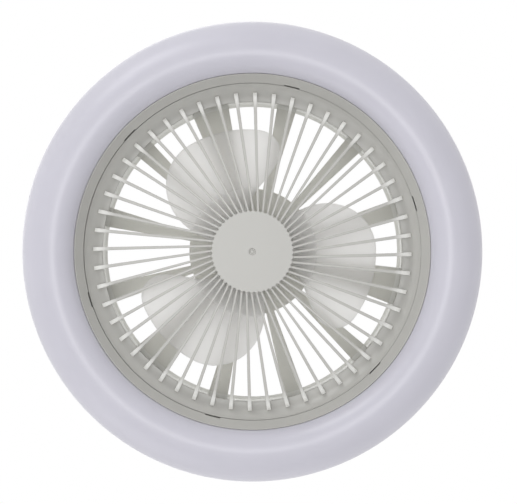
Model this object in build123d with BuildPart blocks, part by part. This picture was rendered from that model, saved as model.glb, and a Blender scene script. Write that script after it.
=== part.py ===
from build123d import *

import math
import os

# Socket fan light: a ring lamp round a three-bladed fan, hung from its screw cap.
# Millimetres. +Z points up to the lamp socket and the grille faces down.
# The origin is on the axis, at the shoulder where the cap meets the neck.
# Every depth is measured upwards from the front-most plane of the light ring.

os.makedirs("parts", exist_ok=True)

# Overall sizes
overall_diameter = 260.0
body_height = 104.0
ring_width = 34.8

# Clearances
seat_gap = 0.3
slide_gap = 0.2
press_gap = 0.02
shaft_gap = 0.03
screw_gap = 0.05

# Room left past a piece by the shape that cuts it
cut_margin = 2.0

# Diffuser
nose_radius = 18.0
diffuser_inner_depth = 8.5
diffuser_rear_step = 2.0
diffuser_tuck = 3.4
diffuser_wall = 2.0
diffuser_lip = 4.8

# Inner frame: sloping ring, bayonet lip and the wall of the fan well
well_wall = 2.0
frame_slope_width = 4.4
frame_flat = 0.6
frame_lip_depth = 14.7
frame_lip_height = 3.3
groove_reach = 0.8
groove_height = 7.0
notch_count = 6
notch_angle = 5.2
boss_radius = 3.4

# Rear cage
cage_front_depth = 42.0
cage_thickness = 6.0
cage_flange = 9.8
cage_hub_radius = 36.9
cage_ledge = 7.8
window_lip = 2.2
arm_count = 12
arm_angle = 7.5
wide_arm_angle = 14.4
wide_arms = 3
collar_wall = 1.8
collar_height = 6.0
bearing_boss_radius = 9.0
bearing_boss_height = 2.5
bearing_seat_depth = 3.0
tunnel_width = 4.4
tunnel_height = 3.4
tunnel_floor = 1.3
tunnel_slots = (5.8, 5.0)
wire_slot = (7.0, 3.0)

# Light pan
pan_wall = 2.0
pan_floor_drop = 2.5
pan_rim_height = 9.3
pan_back_run = 5.1

# Screws
screw_radius = 1.5
screw_head_radius = 2.9
screw_head_height = 1.8
small_screw_radius = 1.0
small_head_radius = 1.9
small_head_height = 1.2
frame_screw_inset = 6.2
frame_screw_length = 16.0

# Light board
board_thickness = 1.6
led_board_gap = 1.6
led_ring_inset = 3.3
leds_per_ring = 24
led_size = (2.8, 3.5, 0.8)
led_screw_count = 3

# Front grille
rib_count = 52
rib_offset = 3.8
rib_phase = 1.16
rib_inner_width = 1.2
rib_outer_width = 1.9
rib_height = 4.4
rib_front_depth = 12.6
rib_shoulder_run = 9.0
rib_shoulder_depth = 13.4
rib_end_inset = 4.9
rib_end_depth = 18.3
ring_dish_width = 9.7
ring_inner_depth = 21.0
ring_wall = 1.8
skirt_depth = 22.4
disc_radius = 22.8
disc_depth = 12.1
disc_thickness = 2.6
dimple_radius = 2.1
dimple_depth = 0.8
tab_angle = 4.4
tab_height = 2.2
tab_reach = 0.8
twist_angle = 7.0

# Impeller
blade_count = 3
blade_phase = 78.5
blade_tip_radius = 71.5
blade_thickness = 1.8
blade_front_depth = 27.2
blade_rear_depth = 37.4
blade_camber = 1.2
blade_sections = 7
blade_half_sweep = 54.0
blade_leading_edge = ((24.0, -0.02), (34.5, 0.34), (43.5, 0.63), (42.0, 0.85), (30.0, 0.985))
blade_trailing_edge = ((-5.0, 1.0), (-21.0, 0.88), (-35.0, 0.6), (-43.0, 0.32), (-47.0, -0.02))
hub_radius = 21.0
hub_wall = 1.9
hub_front_depth = 24.0
hub_rear_depth = 39.2
hub_corner = 3.0

# Motor
can_wall = 1.0
can_rear_depth = 38.2
magnet_thickness = 2.0
magnet_height = 8.5
air_gap = 0.5
stator_teeth = 9
stator_front_depth = 30.0
stator_height = 5.5
tooth_width = 3.0
tooth_tip = 1.2
tooth_tip_share = 0.8
stator_yoke = 3.0
insulator_thickness = 0.8
coil_thickness = 0.9
coil_length = 3.6
tube_radius = 6.5
tube_wall = 1.5
tube_front_depth = 29.0
shaft_radius = 2.0
shaft_reach = 2.1
bearing_width = 4.0
bearing_race = 0.9
bearing_recess = 0.4
clip_thickness = 0.5
clip_radius = 3.6
clip_mouth = 2.6
shaft_groove = 0.5
bush_radius = 5.0
bush_height = 2.3
motor_board_radius = 15.2
motor_board_thickness = 1.3

# Driver
driver_board_gap = 3.4
board_boss_inset = 5.0
board_boss_radius = 3.0
board_boss_angle = 30.0
board_notch = (7.0, 5.0)
capacitor_sizes = ((5.0, 18.0), (4.0, 14.0), (4.0, 11.0))
capacitor_places = ((-14.0, 4.0), (-10.5, -8.5), (-19.0, -6.5))
transformer_size = (15.0, 13.0, 13.0)
transformer_place = (4.0, -4.0)
transformer_leg = 4.0
inductor_radius = 4.5
inductor_height = 9.0
inductor_waist = 3.2
inductor_flange = 1.5
inductor_place = (17.0, 8.0)
connector_size = (7.5, 6.0, 6.5)
connector_place = (0.0, 19.0)

# Neck
neck_wall = 2.0
neck_base_height = 8.0
neck_shoulder_radius = 16.0
neck_taper = 48.0
neck_waist_radius = 17.5
neck_top_radius = 15.5
spigot_radius = 12.4
spigot_height = 15.0

# Screw cap
cap_radius = 13.1
cap_wall = 0.5
cap_shell_height = 20.5
cap_cone_height = 2.6
cap_mouth_radius = 8.5
insulator_cap_height = 2.4
insulator_top_radius = 5.6
contact_radius = 4.8
contact_height = 1.8
contact_stem_radius = 1.5
contact_stem_length = 5.0

# Wires
mains_wire_radius = 0.8
mains_pads = ((22.0, -10.0), (20.0, -15.0))
led_wire_radius = 0.6
motor_wire_radius = 0.5
motor_wire_pitch = 2.2

overall_radius = overall_diameter / 2


def level(depth):
    """Height of a depth behind the front-most plane."""
    return depth - body_height


def polar(radius, angle):
    """A point of the XY plane from its radius and its angle in degrees."""
    return (radius * math.cos(math.radians(angle)), radius * math.sin(math.radians(angle)))


def ring_sector(inner, outer, half_angle, centre=0.0):
    """Outline points of a wedge between two radii, straight across its ends."""
    angles = (centre - half_angle, centre + half_angle)
    return [polar(inner, angles[0]), polar(outer, angles[0]), polar(outer, angles[1]), polar(inner, angles[1])]


def corner_radii(points):
    """The largest tangent arc at each corner: 0.45 of the shorter run over the tangent of half the turn."""
    radii = []
    for before, corner, after in zip(points, points[1:], points[2:]):
        arriving = Vector(*corner) - Vector(*before)
        leaving = Vector(*after) - Vector(*corner)
        half_turn = math.radians(arriving.get_angle(leaving) / 2)
        radii.append(0.45 * min(arriving.length, leaving.length) / math.tan(half_turn))
    return radii


def finish(builder, name):
    """Label a finished piece and write it."""
    builder.part.label = name
    export_step(builder.part, f"parts/{name}.step")


# Radii that follow from the sizes above
crest_radius = overall_radius - nose_radius
diffuser_rear_radius = overall_radius - diffuser_tuck
well_radius = overall_radius - ring_width
frame_rim_radius = well_radius + frame_slope_width
diffuser_inner_radius = frame_rim_radius + seat_gap
groove_radius = well_radius + groove_reach
cage_radius = well_radius + cage_flange
window_radius = well_radius - cage_ledge
frame_screw_circle = well_radius + frame_screw_inset
pan_inner_radius = well_radius + well_wall + seat_gap
pan_step_radius = cage_radius + seat_gap
pan_rim_radius = diffuser_rear_radius - diffuser_wall - slide_gap
led_board_inner = pan_step_radius + pan_wall + led_board_gap
led_board_outer = pan_rim_radius - pan_wall - led_board_gap
led_rings = (led_board_inner + led_ring_inset, led_board_outer - led_ring_inset)
led_screw_circle = (led_board_inner + led_board_outer) / 2
driver_board_radius = cage_hub_radius - neck_wall - driver_board_gap
board_boss_circle = driver_board_radius - board_boss_inset

# Depths that follow from the sizes above
cage_rear_depth = cage_front_depth + cage_thickness
diffuser_rear_depth = cage_front_depth - diffuser_rear_step
diffuser_edge_depth = diffuser_inner_depth + diffuser_lip
frame_seat_depth = diffuser_edge_depth + seat_gap
frame_rim_depth = diffuser_inner_depth + seat_gap
groove_front_depth = frame_lip_depth + frame_lip_height
groove_rear_depth = groove_front_depth + groove_height
pan_flange_depth = cage_front_depth - pan_wall
pan_floor_depth = cage_front_depth + pan_floor_drop
pan_rear_depth = pan_floor_depth + pan_wall
pan_lip_depth = diffuser_rear_depth + seat_gap


def behind(edge, share, hand):
    """A point of the diffuser's hidden face: one wall behind a place on its outer skin."""
    along = edge % share
    return edge @ share + Vector(-along.Y, along.X) * hand * diffuser_wall


# Diffuser: one milky ring, its section a rounded nose carried back to the pan's edge
with BuildPart() as diffuser:
    with BuildSketch(Plane.XZ):
        with BuildLine():
            crest = (crest_radius, level(0))
            widest = (overall_radius, level(overall_radius - crest_radius))
            inner_edge = (diffuser_inner_radius, level(diffuser_inner_depth))
            rear_edge = (diffuser_rear_radius, level(diffuser_rear_depth))
            lip_end = (diffuser_inner_radius, level(diffuser_edge_depth))
            Line(lip_end, inner_edge)
            inner_nose = TangentArc(crest, inner_edge, tangent=(-1, 0))
            outer_nose = TangentArc(crest, widest, tangent=(1, 0))
            side_wall = TangentArc(widest, rear_edge, tangent=(0, 1))
            hidden_face = [behind(inner_nose, share, -1) for share in (1, 0.6, 0.25)]
            hidden_face += [behind(outer_nose, share, 1) for share in (0, 0.3, 0.65, 1)]
            hidden_face += [behind(side_wall, share, 1) for share in (0.5, 1)]
            Polyline(
                lip_end,
                (diffuser_inner_radius + diffuser_wall, level(diffuser_edge_depth)),
                (diffuser_inner_radius + diffuser_wall, hidden_face[0].Y),
                *hidden_face[1:],
                rear_edge,
            )
        make_face()
    revolve(axis=Axis.Z)
finish(diffuser, "diffuser")


# Inner frame: sloping ring, bayonet groove, well wall and six screw bosses
with BuildPart() as inner_frame:
    with BuildSketch(Plane.XZ):
        with BuildLine():
            Polyline(
                (frame_rim_radius, level(frame_rim_depth)),
                (frame_rim_radius - frame_flat, level(frame_rim_depth)),
                (well_radius, level(frame_lip_depth)),
                (well_radius, level(groove_front_depth)),
                (groove_radius, level(groove_front_depth)),
                (groove_radius, level(groove_rear_depth)),
                (well_radius, level(groove_rear_depth)),
                (well_radius, level(cage_front_depth)),
                (well_radius + well_wall, level(cage_front_depth)),
                (well_radius + well_wall, level(groove_rear_depth + well_wall)),
                (groove_radius + well_wall, level(groove_rear_depth)),
                (groove_radius + well_wall, level(frame_seat_depth + well_wall)),
                (diffuser_inner_radius + diffuser_wall, level(frame_seat_depth + well_wall)),
                (diffuser_inner_radius + diffuser_wall, level(frame_seat_depth)),
                (frame_rim_radius, level(frame_seat_depth)),
                close=True,
            )
        make_face()
    revolve(axis=Axis.Z)
    with BuildSketch(Plane.XY.offset(level(frame_seat_depth + well_wall))):
        with PolarLocations(frame_screw_circle, notch_count):
            Circle(boss_radius)
    extrude(amount=pan_flange_depth - frame_seat_depth - well_wall)
    with BuildSketch(Plane.XY.offset(level(pan_flange_depth))):
        with PolarLocations(frame_screw_circle, notch_count):
            Circle(screw_radius + screw_gap)
    extrude(amount=-(frame_screw_length - pan_wall), mode=Mode.SUBTRACT)
    with BuildSketch(Plane.XY.offset(level(frame_rim_depth))):
        with PolarLocations(0, notch_count):
            Polygon(
                *ring_sector(well_radius - well_wall, groove_radius, notch_angle / 2),
                align=None,
            )
    extrude(amount=groove_front_depth - frame_rim_depth, mode=Mode.SUBTRACT)
finish(inner_frame, "inner_frame")


# Rear cage: hub plate, twelve tapered arms and outer ring, moulded in one
tunnel_inner = board_boss_circle + board_boss_radius - tunnel_slots[1] / 2
tunnel_outer = pan_step_radius - pan_wall
tunnel_top = cage_front_depth + tunnel_floor + tunnel_height
with BuildPart() as rear_cage:
    with BuildSketch(Plane.XY.offset(level(cage_front_depth))):
        Circle(cage_radius)
    extrude(amount=cage_thickness)
    with BuildSketch(Plane.XZ):
        with BuildLine():
            front_edge = (window_radius, level(cage_front_depth))
            rear_edge = (window_radius - window_lip, level(cage_rear_depth))
            TangentArc(front_edge, rear_edge, tangent=(0, 1))
            Polyline(
                rear_edge,
                (cage_hub_radius, level(cage_rear_depth)),
                (cage_hub_radius, level(cage_front_depth)),
                front_edge,
            )
        make_face()
    revolve(axis=Axis.Z, mode=Mode.SUBTRACT)
    with BuildSketch(Plane.XY.offset(level(cage_front_depth))):
        for arm in range(arm_count):
            wide = arm % (arm_count // wide_arms) == wide_arms
            half_angle = (wide_arm_angle if wide else arm_angle) / 2
            turn = arm * 360 / arm_count
            Polygon(
                *ring_sector(cage_hub_radius - collar_wall, window_radius + window_lip, half_angle, turn),
                align=None,
            )
    extrude(amount=cage_thickness)
    with BuildSketch(Plane.XY.offset(level(cage_rear_depth))):
        collar_radius = cage_hub_radius - neck_wall - seat_gap
        Circle(collar_radius)
        Circle(collar_radius - collar_wall, mode=Mode.SUBTRACT)
        with PolarLocations(board_boss_circle, 3, start_angle=board_boss_angle):
            Circle(board_boss_radius)
    extrude(amount=collar_height)
    with BuildSketch(Plane.XY.offset(level(cage_front_depth))):
        Circle(bearing_boss_radius)
    extrude(amount=-bearing_boss_height)
    with Locations((0, 0, level(cage_front_depth + bearing_seat_depth))):
        Cylinder(
            tube_radius + press_gap,
            bearing_boss_height + bearing_seat_depth,
            align=(Align.CENTER, Align.CENTER, Align.MAX),
            mode=Mode.SUBTRACT,
        )
    with BuildSketch(Plane.XY.offset(level(cage_rear_depth + collar_height))):
        with PolarLocations(board_boss_circle, 3, start_angle=board_boss_angle):
            Circle(small_screw_radius + screw_gap)
    extrude(amount=-collar_height, mode=Mode.SUBTRACT)
    with BuildSketch(Plane.XY.offset(level(cage_rear_depth))):
        with PolarLocations(frame_screw_circle, notch_count):
            Circle(screw_radius + slide_gap)
    extrude(amount=-cage_thickness, mode=Mode.SUBTRACT)
    with BuildSketch(Plane.XY.offset(level(cage_rear_depth))):
        with PolarLocations(frame_screw_circle, notch_count):
            Circle(screw_head_radius + slide_gap)
    extrude(amount=-(screw_head_height + seat_gap), mode=Mode.SUBTRACT)
    # A tunnel in the first wide arm takes the light's wires
    with BuildSketch(Plane.XY.offset(level(cage_front_depth + tunnel_floor))):
        with Locations((0, (tunnel_inner + tunnel_outer) / 2)):
            Rectangle(tunnel_width, tunnel_outer - tunnel_inner)
    extrude(amount=tunnel_height, mode=Mode.SUBTRACT)
    with BuildSketch(Plane.XY.offset(level(cage_rear_depth))):
        with Locations((0, tunnel_inner + tunnel_slots[0] / 2)):
            Rectangle(tunnel_width, tunnel_slots[0])
    extrude(amount=tunnel_top - cage_rear_depth, mode=Mode.SUBTRACT)
    with BuildSketch(Plane.XY.offset(level(cage_front_depth))):
        with Locations((0, tunnel_outer - tunnel_slots[1] / 2)):
            Rectangle(tunnel_width, tunnel_slots[1])
    extrude(amount=tunnel_floor, mode=Mode.SUBTRACT)
    # A slot beside the bearing boss passes the motor's wires
    with BuildSketch(Plane.XY.offset(level(cage_front_depth))):
        with Locations((0, -(bearing_boss_radius + wire_slot[1]))):
            Rectangle(*wire_slot)
    extrude(amount=cage_thickness, mode=Mode.SUBTRACT)
finish(rear_cage, "rear_cage")


# Light pan: a shallow tray between frame and cage, its rim inside the diffuser
with BuildPart() as light_pan:
    with BuildSketch(Plane.XZ):
        with BuildLine():
            pan_back_edge = (diffuser_rear_radius, level(pan_lip_depth + pan_wall))
            pan_back_start = (diffuser_rear_radius - pan_back_run, level(pan_rear_depth))
            Polyline(
                (pan_step_radius + pan_wall, level(pan_flange_depth)),
                (pan_step_radius + pan_wall, level(pan_floor_depth)),
                (pan_rim_radius - pan_wall, level(pan_floor_depth)),
                (pan_rim_radius - pan_wall, level(pan_lip_depth - pan_rim_height)),
                (pan_rim_radius, level(pan_lip_depth - pan_rim_height)),
                (pan_rim_radius, level(pan_lip_depth)),
                (diffuser_rear_radius, level(pan_lip_depth)),
                pan_back_edge,
            )
            TangentArc(pan_back_start, pan_back_edge, tangent=(1, 0))
            Polyline(
                pan_back_start,
                (pan_step_radius, level(pan_rear_depth)),
                (pan_step_radius, level(cage_front_depth)),
                (pan_inner_radius, level(cage_front_depth)),
                (pan_inner_radius, level(pan_flange_depth)),
                (pan_step_radius + pan_wall, level(pan_flange_depth)),
            )
        make_face()
    revolve(axis=Axis.Z)
    with BuildSketch(Plane.XY.offset(level(pan_flange_depth))):
        with PolarLocations(frame_screw_circle, notch_count):
            Circle(screw_radius + slide_gap)
        with Locations((0, tunnel_outer - tunnel_slots[1] / 2)):
            Rectangle(tunnel_width, tunnel_slots[1])
    extrude(amount=pan_wall, mode=Mode.SUBTRACT)
    with BuildSketch(Plane.XY.offset(level(pan_floor_depth))):
        with PolarLocations(led_screw_circle, led_screw_count, start_angle=board_boss_angle):
            Circle(small_screw_radius + screw_gap)
    extrude(amount=pan_wall, mode=Mode.SUBTRACT)
finish(light_pan, "light_pan")


# Screws that clamp cage, pan and frame, driven from behind
with BuildPart() as frame_screws:
    screw_seat_depth = cage_rear_depth - screw_head_height - seat_gap
    with BuildSketch(Plane.XY.offset(level(screw_seat_depth))):
        with PolarLocations(frame_screw_circle, notch_count):
            Circle(screw_head_radius)
    extrude(amount=screw_head_height)
    with BuildSketch(Plane.XY.offset(level(screw_seat_depth))):
        with PolarLocations(frame_screw_circle, notch_count):
            Circle(screw_radius)
    extrude(amount=-frame_screw_length)
finish(frame_screws, "frame_screws")


# Light board with its chips and screws
board_face_depth = pan_floor_depth - board_thickness
with BuildPart() as led_board:
    with BuildSketch(Plane.XY.offset(level(board_face_depth))):
        Circle(led_board_outer)
        Circle(led_board_inner, mode=Mode.SUBTRACT)
        with PolarLocations(led_screw_circle, led_screw_count, start_angle=board_boss_angle):
            Circle(small_screw_radius + slide_gap, mode=Mode.SUBTRACT)
    extrude(amount=board_thickness)
finish(led_board, "led_board")

with BuildPart() as led_chips:
    with BuildSketch(Plane.XY.offset(level(board_face_depth))):
        for ring_radius in led_rings:
            with PolarLocations(ring_radius, leds_per_ring, start_angle=180 / leds_per_ring):
                Rectangle(led_size[0], led_size[1])
    extrude(amount=-led_size[2])
finish(led_chips, "led_chips")

with BuildPart() as led_board_screws:
    with BuildSketch(Plane.XY.offset(level(board_face_depth))):
        with PolarLocations(led_screw_circle, led_screw_count, start_angle=board_boss_angle):
            Circle(small_head_radius)
    extrude(amount=-small_head_height)
    with BuildSketch(Plane.XY.offset(level(board_face_depth))):
        with PolarLocations(led_screw_circle, led_screw_count, start_angle=board_boss_angle):
            Circle(small_screw_radius)
    extrude(amount=board_thickness + pan_wall)
finish(led_board_screws, "led_board_screws")


# Front grille: swirled ribs from a plain disc, cut square on a dished ring with six bayonet tabs
ring_outer_radius = well_radius - seat_gap
ring_outer_depth = frame_lip_depth
ring_inner_radius = ring_outer_radius - ring_dish_width
rib_end_radius = ring_outer_radius - rib_end_inset
rib_shoulder_radius = rib_end_radius - rib_shoulder_run
rib_root_radius = disc_radius - ring_wall
with BuildPart() as rib:
    with BuildSketch(Plane.XZ.offset(-rib_offset)):
        with BuildLine():
            shoulder = (rib_shoulder_radius, level(rib_shoulder_depth))
            rib_end = (rib_end_radius, level(rib_end_depth))
            rib_foot = (rib_end_radius, level(ring_inner_depth))
            rear_end = (ring_inner_radius + ring_wall / 2, level((ring_inner_depth + skirt_depth) / 2))
            rear_shoulder = (
                rib_shoulder_radius - rib_height / 2,
                level(rib_shoulder_depth + rib_height),
            )
            Line((rib_root_radius, level(rib_front_depth)), shoulder)
            TangentArc(shoulder, rib_end, tangent=(1, 0))
            Polyline(rib_end, rib_foot, rear_end)
            TangentArc(rear_shoulder, rear_end, tangent=(1, 0))
            Line(rear_shoulder, (rib_root_radius, level(rib_front_depth + rib_height)))
            Line(
                (rib_root_radius, level(rib_front_depth + rib_height)),
                (rib_root_radius, level(rib_front_depth)),
            )
        make_face()
    extrude(amount=rib_outer_width, both=True)
    with BuildSketch(Plane.XY.offset(level(skirt_depth))):
        with Locations((0, rib_offset)):
            Polygon(
                (rib_root_radius, -rib_inner_width / 2),
                (rib_end_radius, -rib_outer_width / 2),
                (rib_end_radius, rib_outer_width / 2),
                (rib_root_radius, rib_inner_width / 2),
                align=None,
            )
    extrude(amount=rib_front_depth - skirt_depth, mode=Mode.INTERSECT)

with BuildPart() as front_grille:
    with BuildSketch(Plane.XZ):
        with BuildLine():
            dish_edge = (ring_inner_radius, level(ring_inner_depth))
            dish_brow = (ring_outer_radius, level(ring_outer_depth))
            TangentArc(dish_edge, dish_brow, tangent=(1, 0))
            Polyline(
                dish_brow,
                (ring_outer_radius, level(skirt_depth)),
                (ring_outer_radius - ring_wall, level(skirt_depth)),
                (ring_outer_radius - ring_wall, level(ring_inner_depth - ring_wall)),
                (ring_inner_radius + ring_dish_width / 2, level(skirt_depth)),
                (ring_inner_radius, level(skirt_depth)),
                dish_edge,
            )
        make_face()
    revolve(axis=Axis.Z)
    with BuildSketch(Plane.XY.offset(level(disc_depth))):
        Circle(disc_radius)
    extrude(amount=disc_thickness)
    with Locations((0, 0, level(disc_depth))):
        Cone(
            dimple_radius,
            dimple_radius - dimple_depth,
            dimple_depth,
            align=(Align.CENTER, Align.CENTER, Align.MIN),
            mode=Mode.SUBTRACT,
        )
    with PolarLocations(0, rib_count, start_angle=rib_phase):
        add(rib.part)
    tab_depth = groove_front_depth + seat_gap
    with BuildSketch(Plane.XY.offset(level(tab_depth))):
        for tab in range(notch_count):
            Polygon(
                *ring_sector(
                    ring_outer_radius - ring_wall,
                    ring_outer_radius + tab_reach,
                    tab_angle / 2,
                    tab * 360 / notch_count + twist_angle,
                ),
                align=None,
            )
    extrude(amount=tab_height)
finish(front_grille, "front_grille")


# Impeller: three broad petals cut from a shallow screw surface, on a cup-shaped hub
def blade_plane(step):
    """Upright radial plane of one section through the blade's screw surface, and its mid depth."""
    share = step / (blade_sections - 1)
    angle = math.radians(blade_half_sweep * (2 * share - 1))
    rise = (blade_rear_depth - blade_front_depth) * share
    bow = 4 * blade_camber * share * (1 - share)
    outward = (math.cos(angle), math.sin(angle), 0)
    along = (math.sin(angle), -math.cos(angle), 0)
    return Plane(origin=(0, 0, level(blade_front_depth + rise + bow)), x_dir=outward, z_dir=along)


def blade_point(angle, share):
    """A point of the petal's outline: its angle, and its share of the way from hub to tip."""
    return polar(hub_radius + share * (blade_tip_radius - hub_radius), angle)


blade_start = hub_radius - hub_wall / 2
blade_end = blade_tip_radius + cut_margin
with BuildPart() as blade:
    for step in range(blade_sections):
        with BuildSketch(blade_plane(step)):
            with Locations(((blade_start + blade_end) / 2, 0)):
                Rectangle(blade_end - blade_start, blade_thickness)
    loft()
    with BuildSketch(Plane.XY.offset(level(hub_front_depth - cut_margin))):
        with BuildLine():
            front_curve = Spline(*[blade_point(angle, share) for angle, share in blade_leading_edge])
            back_curve = Spline(*[blade_point(angle, share) for angle, share in blade_trailing_edge])
            tip_middle = (blade_leading_edge[-1][0] + blade_trailing_edge[0][0]) / 2
            ThreePointArc(front_curve @ 1, polar(blade_tip_radius, tip_middle), back_curve @ 0)
            Line(back_curve @ 1, front_curve @ 0)
        make_face()
    extrude(amount=hub_rear_depth - hub_front_depth + 2 * cut_margin, mode=Mode.INTERSECT)

with BuildPart() as impeller:
    with BuildSketch(Plane.XZ):
        with BuildLine():
            cup = FilletPolyline(
                (0, level(hub_front_depth)),
                (hub_radius, level(hub_front_depth)),
                (hub_radius, level(hub_rear_depth)),
                radius=hub_corner,
            )
            Polyline(
                cup @ 1,
                (hub_radius - hub_wall, level(hub_rear_depth)),
                (hub_radius - hub_wall, level(hub_front_depth + hub_wall)),
                (0, level(hub_front_depth + hub_wall)),
                (0, level(hub_front_depth)),
            )
        make_face()
    revolve(axis=Axis.Z)
    with PolarLocations(0, blade_count, start_angle=blade_phase):
        add(blade.part)
    can_radius = hub_radius - hub_wall - press_gap
    with Locations((0, 0, level(hub_front_depth + hub_wall))):
        Cylinder(
            can_radius + press_gap,
            hub_rear_depth - hub_front_depth,
            align=(Align.CENTER, Align.CENTER, Align.MIN),
            mode=Mode.SUBTRACT,
        )
finish(impeller, "impeller")


# Rotor: steel can with its magnet ring, brass bush, shaft and clip
can_front_depth = hub_front_depth + hub_wall
with BuildPart() as rotor_can:
    with BuildSketch(Plane.XZ):
        with BuildLine():
            Polyline(
                (bush_radius + press_gap, level(can_front_depth)),
                (can_radius, level(can_front_depth)),
                (can_radius, level(can_rear_depth)),
                (can_radius - can_wall, level(can_rear_depth)),
                (can_radius - can_wall, level(can_front_depth + can_wall)),
                (bush_radius + press_gap, level(can_front_depth + can_wall)),
                close=True,
            )
        make_face()
    revolve(axis=Axis.Z)
finish(rotor_can, "rotor_can")

magnet_outer = can_radius - can_wall - press_gap
with BuildPart() as rotor_magnet:
    with BuildSketch(Plane.XY.offset(level(can_rear_depth - magnet_height))):
        Circle(magnet_outer)
        Circle(magnet_outer - magnet_thickness, mode=Mode.SUBTRACT)
    extrude(amount=magnet_height - can_wall)
finish(rotor_magnet, "rotor_magnet")

with BuildPart() as rotor_bush:
    with BuildSketch(Plane.XY.offset(level(can_front_depth))):
        Circle(bush_radius)
        Circle(shaft_radius + press_gap, mode=Mode.SUBTRACT)
    extrude(amount=bush_height)
finish(rotor_bush, "rotor_bush")

shaft_end_depth = cage_front_depth + shaft_reach
clip_depth = shaft_end_depth - 3 * clip_thickness
with BuildPart() as rotor_shaft:
    with BuildSketch(Plane.XY.offset(level(can_front_depth))):
        Circle(shaft_radius)
    extrude(amount=shaft_end_depth - can_front_depth)
    with BuildSketch(Plane.XY.offset(level(clip_depth))):
        Circle(shaft_radius)
        Circle(shaft_radius - shaft_groove, mode=Mode.SUBTRACT)
    extrude(amount=clip_thickness + screw_gap, mode=Mode.SUBTRACT)
    chamfer(rotor_shaft.edges().filter_by(GeomType.CIRCLE).sort_by(Axis.Z)[-1], shaft_groove / 2)
finish(rotor_shaft, "rotor_shaft")

with BuildPart() as shaft_clip:
    with BuildSketch(Plane.XY.offset(level(clip_depth))):
        Circle(clip_radius)
        Circle(shaft_radius - shaft_groove + screw_gap, mode=Mode.SUBTRACT)
        with Locations((clip_radius, 0)):
            Rectangle(2 * clip_radius, clip_mouth, mode=Mode.SUBTRACT)
    extrude(amount=clip_thickness)
finish(shaft_clip, "shaft_clip")


# Bearings and their tube, pressed into the cage
tube_bore = tube_radius - tube_wall
with BuildPart() as bearing_tube:
    with BuildSketch(Plane.XY.offset(level(tube_front_depth))):
        Circle(tube_radius)
        Circle(tube_bore, mode=Mode.SUBTRACT)
    extrude(amount=cage_front_depth + bearing_seat_depth - tube_front_depth)
finish(bearing_tube, "bearing_tube")


def bearing(front_depth, name):
    """A small ball bearing: two races with recessed shields between them."""
    outer = tube_bore - press_gap
    inner = shaft_radius + shaft_gap
    with BuildPart() as piece:
        with BuildSketch(Plane.XY.offset(level(front_depth))):
            Circle(outer)
            Circle(inner, mode=Mode.SUBTRACT)
        extrude(amount=bearing_width)
        for plane_depth, direction in ((front_depth, 1), (front_depth + bearing_width, -1)):
            with BuildSketch(Plane.XY.offset(level(plane_depth))):
                Circle(outer - bearing_race)
                Circle(inner + bearing_race, mode=Mode.SUBTRACT)
            extrude(amount=direction * bearing_recess, mode=Mode.SUBTRACT)
    finish(piece, name)


rear_bearing_depth = clip_depth - seat_gap - bearing_width
bearing(tube_front_depth + seat_gap, "front_bearing")
bearing(rear_bearing_depth, "rear_bearing")


# Stator: laminated core with nine teeth, end insulators and a coil on each tooth
stator_outer = magnet_outer - magnet_thickness - air_gap
stator_inner = tube_radius + press_gap
yoke_radius = stator_inner + stator_yoke
tip_radius = stator_outer - tooth_tip


def stator_outline(tooth):
    """Yoke ring and teeth of a given width, drawn into the open sketch."""
    Circle(yoke_radius)
    with PolarLocations(0, stator_teeth):
        with Locations(((yoke_radius + tip_radius) / 2, 0)):
            Rectangle(tip_radius - yoke_radius + tooth_tip, tooth)


with BuildPart() as stator_core:
    with BuildSketch(Plane.XY.offset(level(stator_front_depth))):
        stator_outline(tooth_width)
        with PolarLocations(0, stator_teeth):
            Polygon(
                *ring_sector(tip_radius, stator_outer, tooth_tip_share * 180 / stator_teeth),
                align=None,
            )
        Circle(stator_inner, mode=Mode.SUBTRACT)
    extrude(amount=stator_height)
finish(stator_core, "stator_core")

with BuildPart() as stator_insulators:
    for start, direction in ((stator_front_depth, -1), (stator_front_depth + stator_height, 1)):
        with BuildSketch(Plane.XY.offset(level(start))):
            stator_outline(tooth_width)
            Circle(stator_inner, mode=Mode.SUBTRACT)
        extrude(amount=direction * insulator_thickness)
finish(stator_insulators, "stator_insulators")

coil_inside = (tooth_width + 2 * press_gap, stator_height + 2 * insulator_thickness + 2 * press_gap)
with BuildPart() as coil:
    coil_start = tip_radius - tooth_tip / 2 - coil_length
    coil_middle = level(stator_front_depth + stator_height / 2)
    with BuildSketch(Plane.YZ.offset(coil_start)):
        with Locations((0, coil_middle)):
            RectangleRounded(
                coil_inside[0] + 2 * coil_thickness,
                coil_inside[1] + 2 * coil_thickness,
                coil_thickness,
            )
            Rectangle(*coil_inside, mode=Mode.SUBTRACT)
    extrude(amount=coil_length)

with BuildPart() as stator_windings:
    with PolarLocations(0, stator_teeth):
        add(coil.part)
finish(stator_windings, "stator_windings")

motor_board_depth = cage_front_depth - bearing_boss_height - motor_board_thickness
with BuildPart() as motor_board:
    with BuildSketch(Plane.XY.offset(level(motor_board_depth))):
        Circle(motor_board_radius)
        Circle(tube_radius + slide_gap, mode=Mode.SUBTRACT)
    extrude(amount=motor_board_thickness)
finish(motor_board, "motor_board")


# Driver board with its larger components, inside the neck
driver_board_depth = cage_rear_depth + collar_height
driver_face_depth = driver_board_depth + board_thickness
with BuildPart() as driver_board:
    with BuildSketch(Plane.XY.offset(level(driver_board_depth))):
        Circle(driver_board_radius)
        with PolarLocations(board_boss_circle, 3, start_angle=board_boss_angle):
            Circle(small_screw_radius + slide_gap, mode=Mode.SUBTRACT)
        with Locations((0, driver_board_radius - board_notch[1] / 2)):
            Rectangle(board_notch[0], board_notch[1] + screw_radius, mode=Mode.SUBTRACT)
    extrude(amount=board_thickness)
finish(driver_board, "driver_board")

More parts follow.
